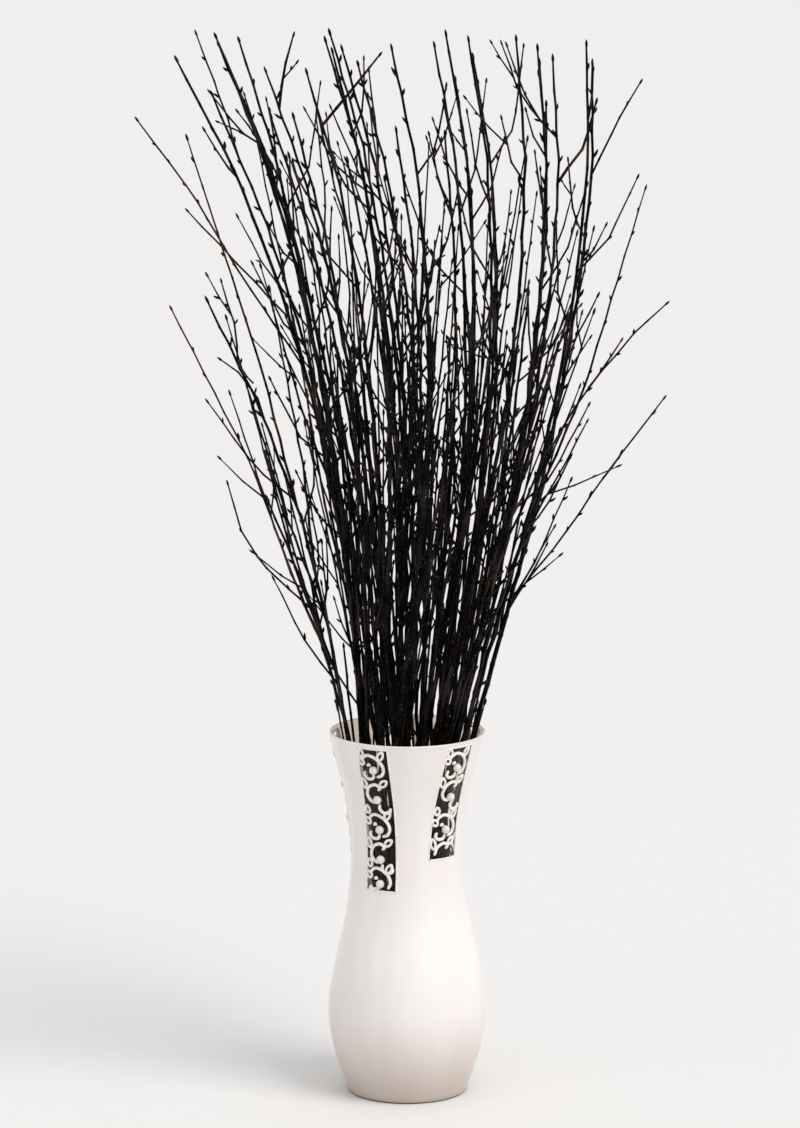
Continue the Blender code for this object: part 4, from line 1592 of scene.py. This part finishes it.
def grow_everything():
    """All the wood: the stems, and twigs as (branch, points, radii)."""
    rng = np.random.default_rng(SEED)
    thicket = Thicket()
    stems = grow_stems(thicket, rng)
    twigs = grow_shown_twigs(thicket, stems)
    twigs += grow_twigs(thicket, stems, rng)
    rng = np.random.default_rng(FINE_SEED)
    forks = seen_forks(stems)
    for parent, points, radii in forks:
        thicket.add(points, radii, parent)
    twigs += forks
    long_twigs = grow_fine(thicket, long_twig_hosts(stems), rng, LONG_TWIGS)
    hosts = [(k, points) for k, (points, _) in enumerate(stems)]
    short_twigs = grow_fine(thicket, hosts, rng, SHORT_TWIGS)
    hosts = [(k, points) for k, points, _ in (twigs + long_twigs)[::TWIGLET_HOSTS]]
    twiglets = grow_fine(thicket, hosts, rng, TWIGLETS)
    return stems, twigs + long_twigs + short_twigs + twiglets


def long_twig_hosts(stems):
    """The stretch of each stem that long twigs start from."""
    hosts = []
    for number, (points, _) in enumerate(stems):
        low = EDGE_STARTS if number < len(EDGE_STEMS) else LONG_STARTS[0]
        high = min(LONG_STARTS[1], points[-1, 2] - LONG_BELOW_TIP)
        if high > low:
            between_them = points[(points[:, 2] > low) & (points[:, 2] < high)]
            ends = at_height(points, low), at_height(points, high)
            hosts.append((number, np.vstack([ends[0], between_them, ends[1]])))
    return hosts


def natural(points, radii, rng, sizes, tone):
    """A chain that steps and swells a little at its nodes, and the buds that sit on them."""
    steps = np.linalg.norm(np.diff(points, axis=0), axis=1)
    along = np.append(0, np.cumsum(steps))
    scale = BUD_SMALLEST + (1 - BUD_SMALLEST) * min(1.0, float(radii[0]) / FULL_BUD_WOOD)
    bud_length = sizes.bud_length * scale * rng.uniform(*BUD_LENGTHS)
    bud_width = sizes.bud_width * scale * rng.uniform(*BUD_WIDTHS)
    total = along[-1] - TIP_BUD_COVERS * bud_length
    count = max(2, round(total / NODE_PITCH))
    at = np.linspace(0, total, count + 1)
    at[1:-1] += rng.uniform(-NODE_DRIFT, NODE_DRIFT, count - 1) * NODE_PITCH
    nodes = followed(points, along, at)
    thick = np.interp(at, along, radii)
    runs = np.gradient(nodes, axis=0)
    runs = runs / np.linalg.norm(runs, axis=1)[:, None]
    turn = rng.uniform(0, math.tau)
    chain, chain_radii, beads = [nodes[0]], [thick[0]], []
    for k in range(1, count):
        turn += math.pi + rng.uniform(-NODE_TURN, NODE_TURN)
        side = square_to(runs[k], turn)
        node = nodes[k] + NODE_SHIFT * thick[k] * side
        before = node - NODE_HALF * unit(node - chain[-1])
        after = node + NODE_HALF * unit(nodes[k + 1] - node)
        chain += [before, node, after]
        chain_radii += [thick[k], NODE_SWELL * thick[k], thick[k]]
        if node[2] > BUDS_ABOVE and rng.random() < BUD_CHANCE:
            leans = math.radians(rng.uniform(*BUD_LEANS))
            aim = math.cos(leans) * runs[k] + math.sin(leans) * side
            size = rng.uniform(*BUD_SIZES)
            base = node + BUD_OUT * thick[k] * side - BUD_DOWN * runs[k]
            beads.append((base, aim, (bud_width * size, bud_width * size, bud_length * size), tone))
    end = nodes[-1]
    chain.append(end)
    chain_radii.append(TIP_THINNER * thick[-1])
    aim = unit(points[-1] - end)
    base = end - TIP_BUD_SINKS * bud_length * aim
    beads.append((base, aim, (bud_width, bud_width, bud_length), tone))
    return (np.array(chain), chain_radii, tone, False), beads


class VASE_OT_branches(bpy.types.Operator):
    """Grow the birch branches with their twigs and buds"""

    bl_idname = "vase.branches"
    bl_label = "Birch branches"

    def execute(self, context):
        sizes = context.scene.branch_sizes
        bark = bark_material(context.scene.vase_looks)
        group = growth_tree("birch_growth", BUD_OUTLINE)
        stems, twigs = grow_everything()
        rng = np.random.default_rng(FINE_SEED + 1)
        for number, (points, radii) in enumerate(stems):
            stout = radii * np.linspace(1, TIP_STOUTER, len(radii))
            chain, beads = natural(points, stout, rng, sizes, rng.uniform(0, STEM_TONES))
            chains = [chain]
            for parent, twig_points, twig_thickness in twigs:
                if parent != number:
                    continue
                tone = RED_TWIG if twig_points is twigs[0][1] else rng.uniform(0, TWIG_TONES)
                chain, more = natural(twig_points, twig_thickness, rng, sizes, tone)
                chains.append(chain)
                beads += more
            bones = skeleton("branch_bones", chains, beads)
            inputs = {
                "Path Sides": sizes.stem_sides,
                "Bead Sides": sizes.bud_sides,
                "Bead Rings": BUD_RINGS,
                "Path Finish": bark,
                "Bead Finish": bark,
            }
            piece = grown(f"birch_branch_{number + 1:02d}", bones, group, inputs)
            attach(piece, "bark", f"branch_{number + 1:02d}")
        return {"FINISHED"}


# The stage


def lamp(kind, name, place, way, **settings):
    """A light that shines along a direction."""
    data = bpy.data.lights.new(name, kind)
    for setting, value in settings.items():
        setattr(data, setting, value)
    made = bpy.data.objects.new(name, data)
    bpy.context.scene.collection.objects.link(made)
    made.location = place
    made.rotation_euler = direction(way)


def direction(way):
    """The turn that points a lamp along a direction."""
    x, y, z = unit(way)
    return (math.acos(-z), 0, math.atan2(y, x) - math.pi / 2)


def lay_floor(scene):
    """A wide pale floor that fades towards the colour of the light round it."""
    rings = [(radius, 0) for radius in (0, *FLOOR_RINGS, FLOOR_RADIUS)]
    mesh = lathe("floor", rings, FLOOR_SIDES, False)
    made, tree = new_material("pale_floor")
    place = object_place(tree)
    grain = noise(tree, place, 60.0, 4.0)
    away = tree.node("ShaderNodeVectorMath", {"operation": "LENGTH"}, {0: place}).outputs["Value"]
    pale = scene.vase_looks.floor
    near = mixed(tree, grain, pale, FLOOR_GRAIN * pale)
    finish_surface(
        tree,
        {
            "Base Color": mixed(tree, between(tree, away, *FLOOR_FADES), near, FAR_FLOOR),
            "Roughness": 0.55 + 0.1 * grain,
        },
    )
    mesh.materials.append(made)
    mesh.flip_normals()
    floor = bpy.data.objects.new("floor", mesh)
    scene.collection.objects.link(floor)


def light_studio(scene):
    """An even pale sky, a broad soft sun and two soft lamps."""
    world = bpy.data.worlds.new("studio")
    scene.world = world
    world.use_nodes = True
    sky = world.node_tree.nodes["Background"]
    sky.inputs["Color"].default_value = SKY_COLOUR
    sky.inputs["Strength"].default_value = SKY_STRENGTH
    sun = {"energy": SUN_POWER, "angle": SUN_ANGLE, "color": SUN_COLOUR}
    lamp("SUN", "soft_sun", (0, 0, 0), np.array(SUN_WAY), **sun)
    for name, place, size, power, colour in STRIPS:
        strip = {"shape": "DISK", "size": size, "spread": STRIP_SPREAD}
        strip |= {"energy": power, "color": colour}
        lamp("AREA", name, place, np.subtract(STRIPS_AIM, place), **strip)
    scene.view_settings.view_transform = "Standard"


def set_camera(scene):
    """The camera, a little above the tips and looking down."""
    camera = bpy.data.cameras.new("camera")
    camera.lens = CAMERA_LENS
    camera.sensor_width = SENSOR
    camera.clip_end = CAMERA_REACH
    holder = bpy.data.objects.new("camera", camera)
    scene.collection.objects.link(holder)
    holder.location = CAMERA_PLACE
    holder.rotation_euler = (math.radians(90 - CAMERA_PITCH), 0, 0)
    scene.camera = holder


class VASE_OT_stage(bpy.types.Operator):
    """Set the pale floor, the soft light and the camera"""

    bl_idname = "vase.stage"
    bl_label = "Floor, light and camera"

    def execute(self, context):
        lay_floor(context.scene)
        light_studio(context.scene)
        set_camera(context.scene)
        return {"FINISHED"}


OPERATORS = (VASE_OT_glass, VASE_OT_coat, VASE_OT_scrollwork, VASE_OT_branches, VASE_OT_stage)


class VASE_PT_panel(bpy.types.Panel):
    """The vase's pieces, in the order in which they are made"""

    bl_label = "Vase of birch branches"
    bl_idname = "VASE_PT_panel"
    bl_space_type = "VIEW_3D"
    bl_region_type = "UI"
    bl_category = "Vase"

    def draw(self, context):
        for group in (context.scene.vase_sizes, context.scene.branch_sizes, context.scene.vase_looks):
            box = self.layout.box()
            for name in group.__annotations__:
                box.prop(group, name)
        for operator in OPERATORS:
            self.layout.operator(operator.bl_idname)


CLASSES = (VaseSizes, BranchSizes, Looks, *OPERATORS, VASE_PT_panel)


def register():
    for made in CLASSES:
        bpy.utils.register_class(made)
    bpy.types.Scene.vase_sizes = bpy.props.PointerProperty(type=VaseSizes)
    bpy.types.Scene.branch_sizes = bpy.props.PointerProperty(type=BranchSizes)
    bpy.types.Scene.vase_looks = bpy.props.PointerProperty(type=Looks)


def unregister():
    del bpy.types.Scene.vase_looks
    del bpy.types.Scene.branch_sizes
    del bpy.types.Scene.vase_sizes
    for made in reversed(CLASSES):
        bpy.utils.unregister_class(made)


def main():
    register()
    bpy.ops.vase.glass()
    bpy.ops.vase.coat()
    bpy.ops.vase.scrollwork()
    bpy.ops.vase.branches()
    bpy.ops.vase.stage()


if __name__ == "__main__":
    main()
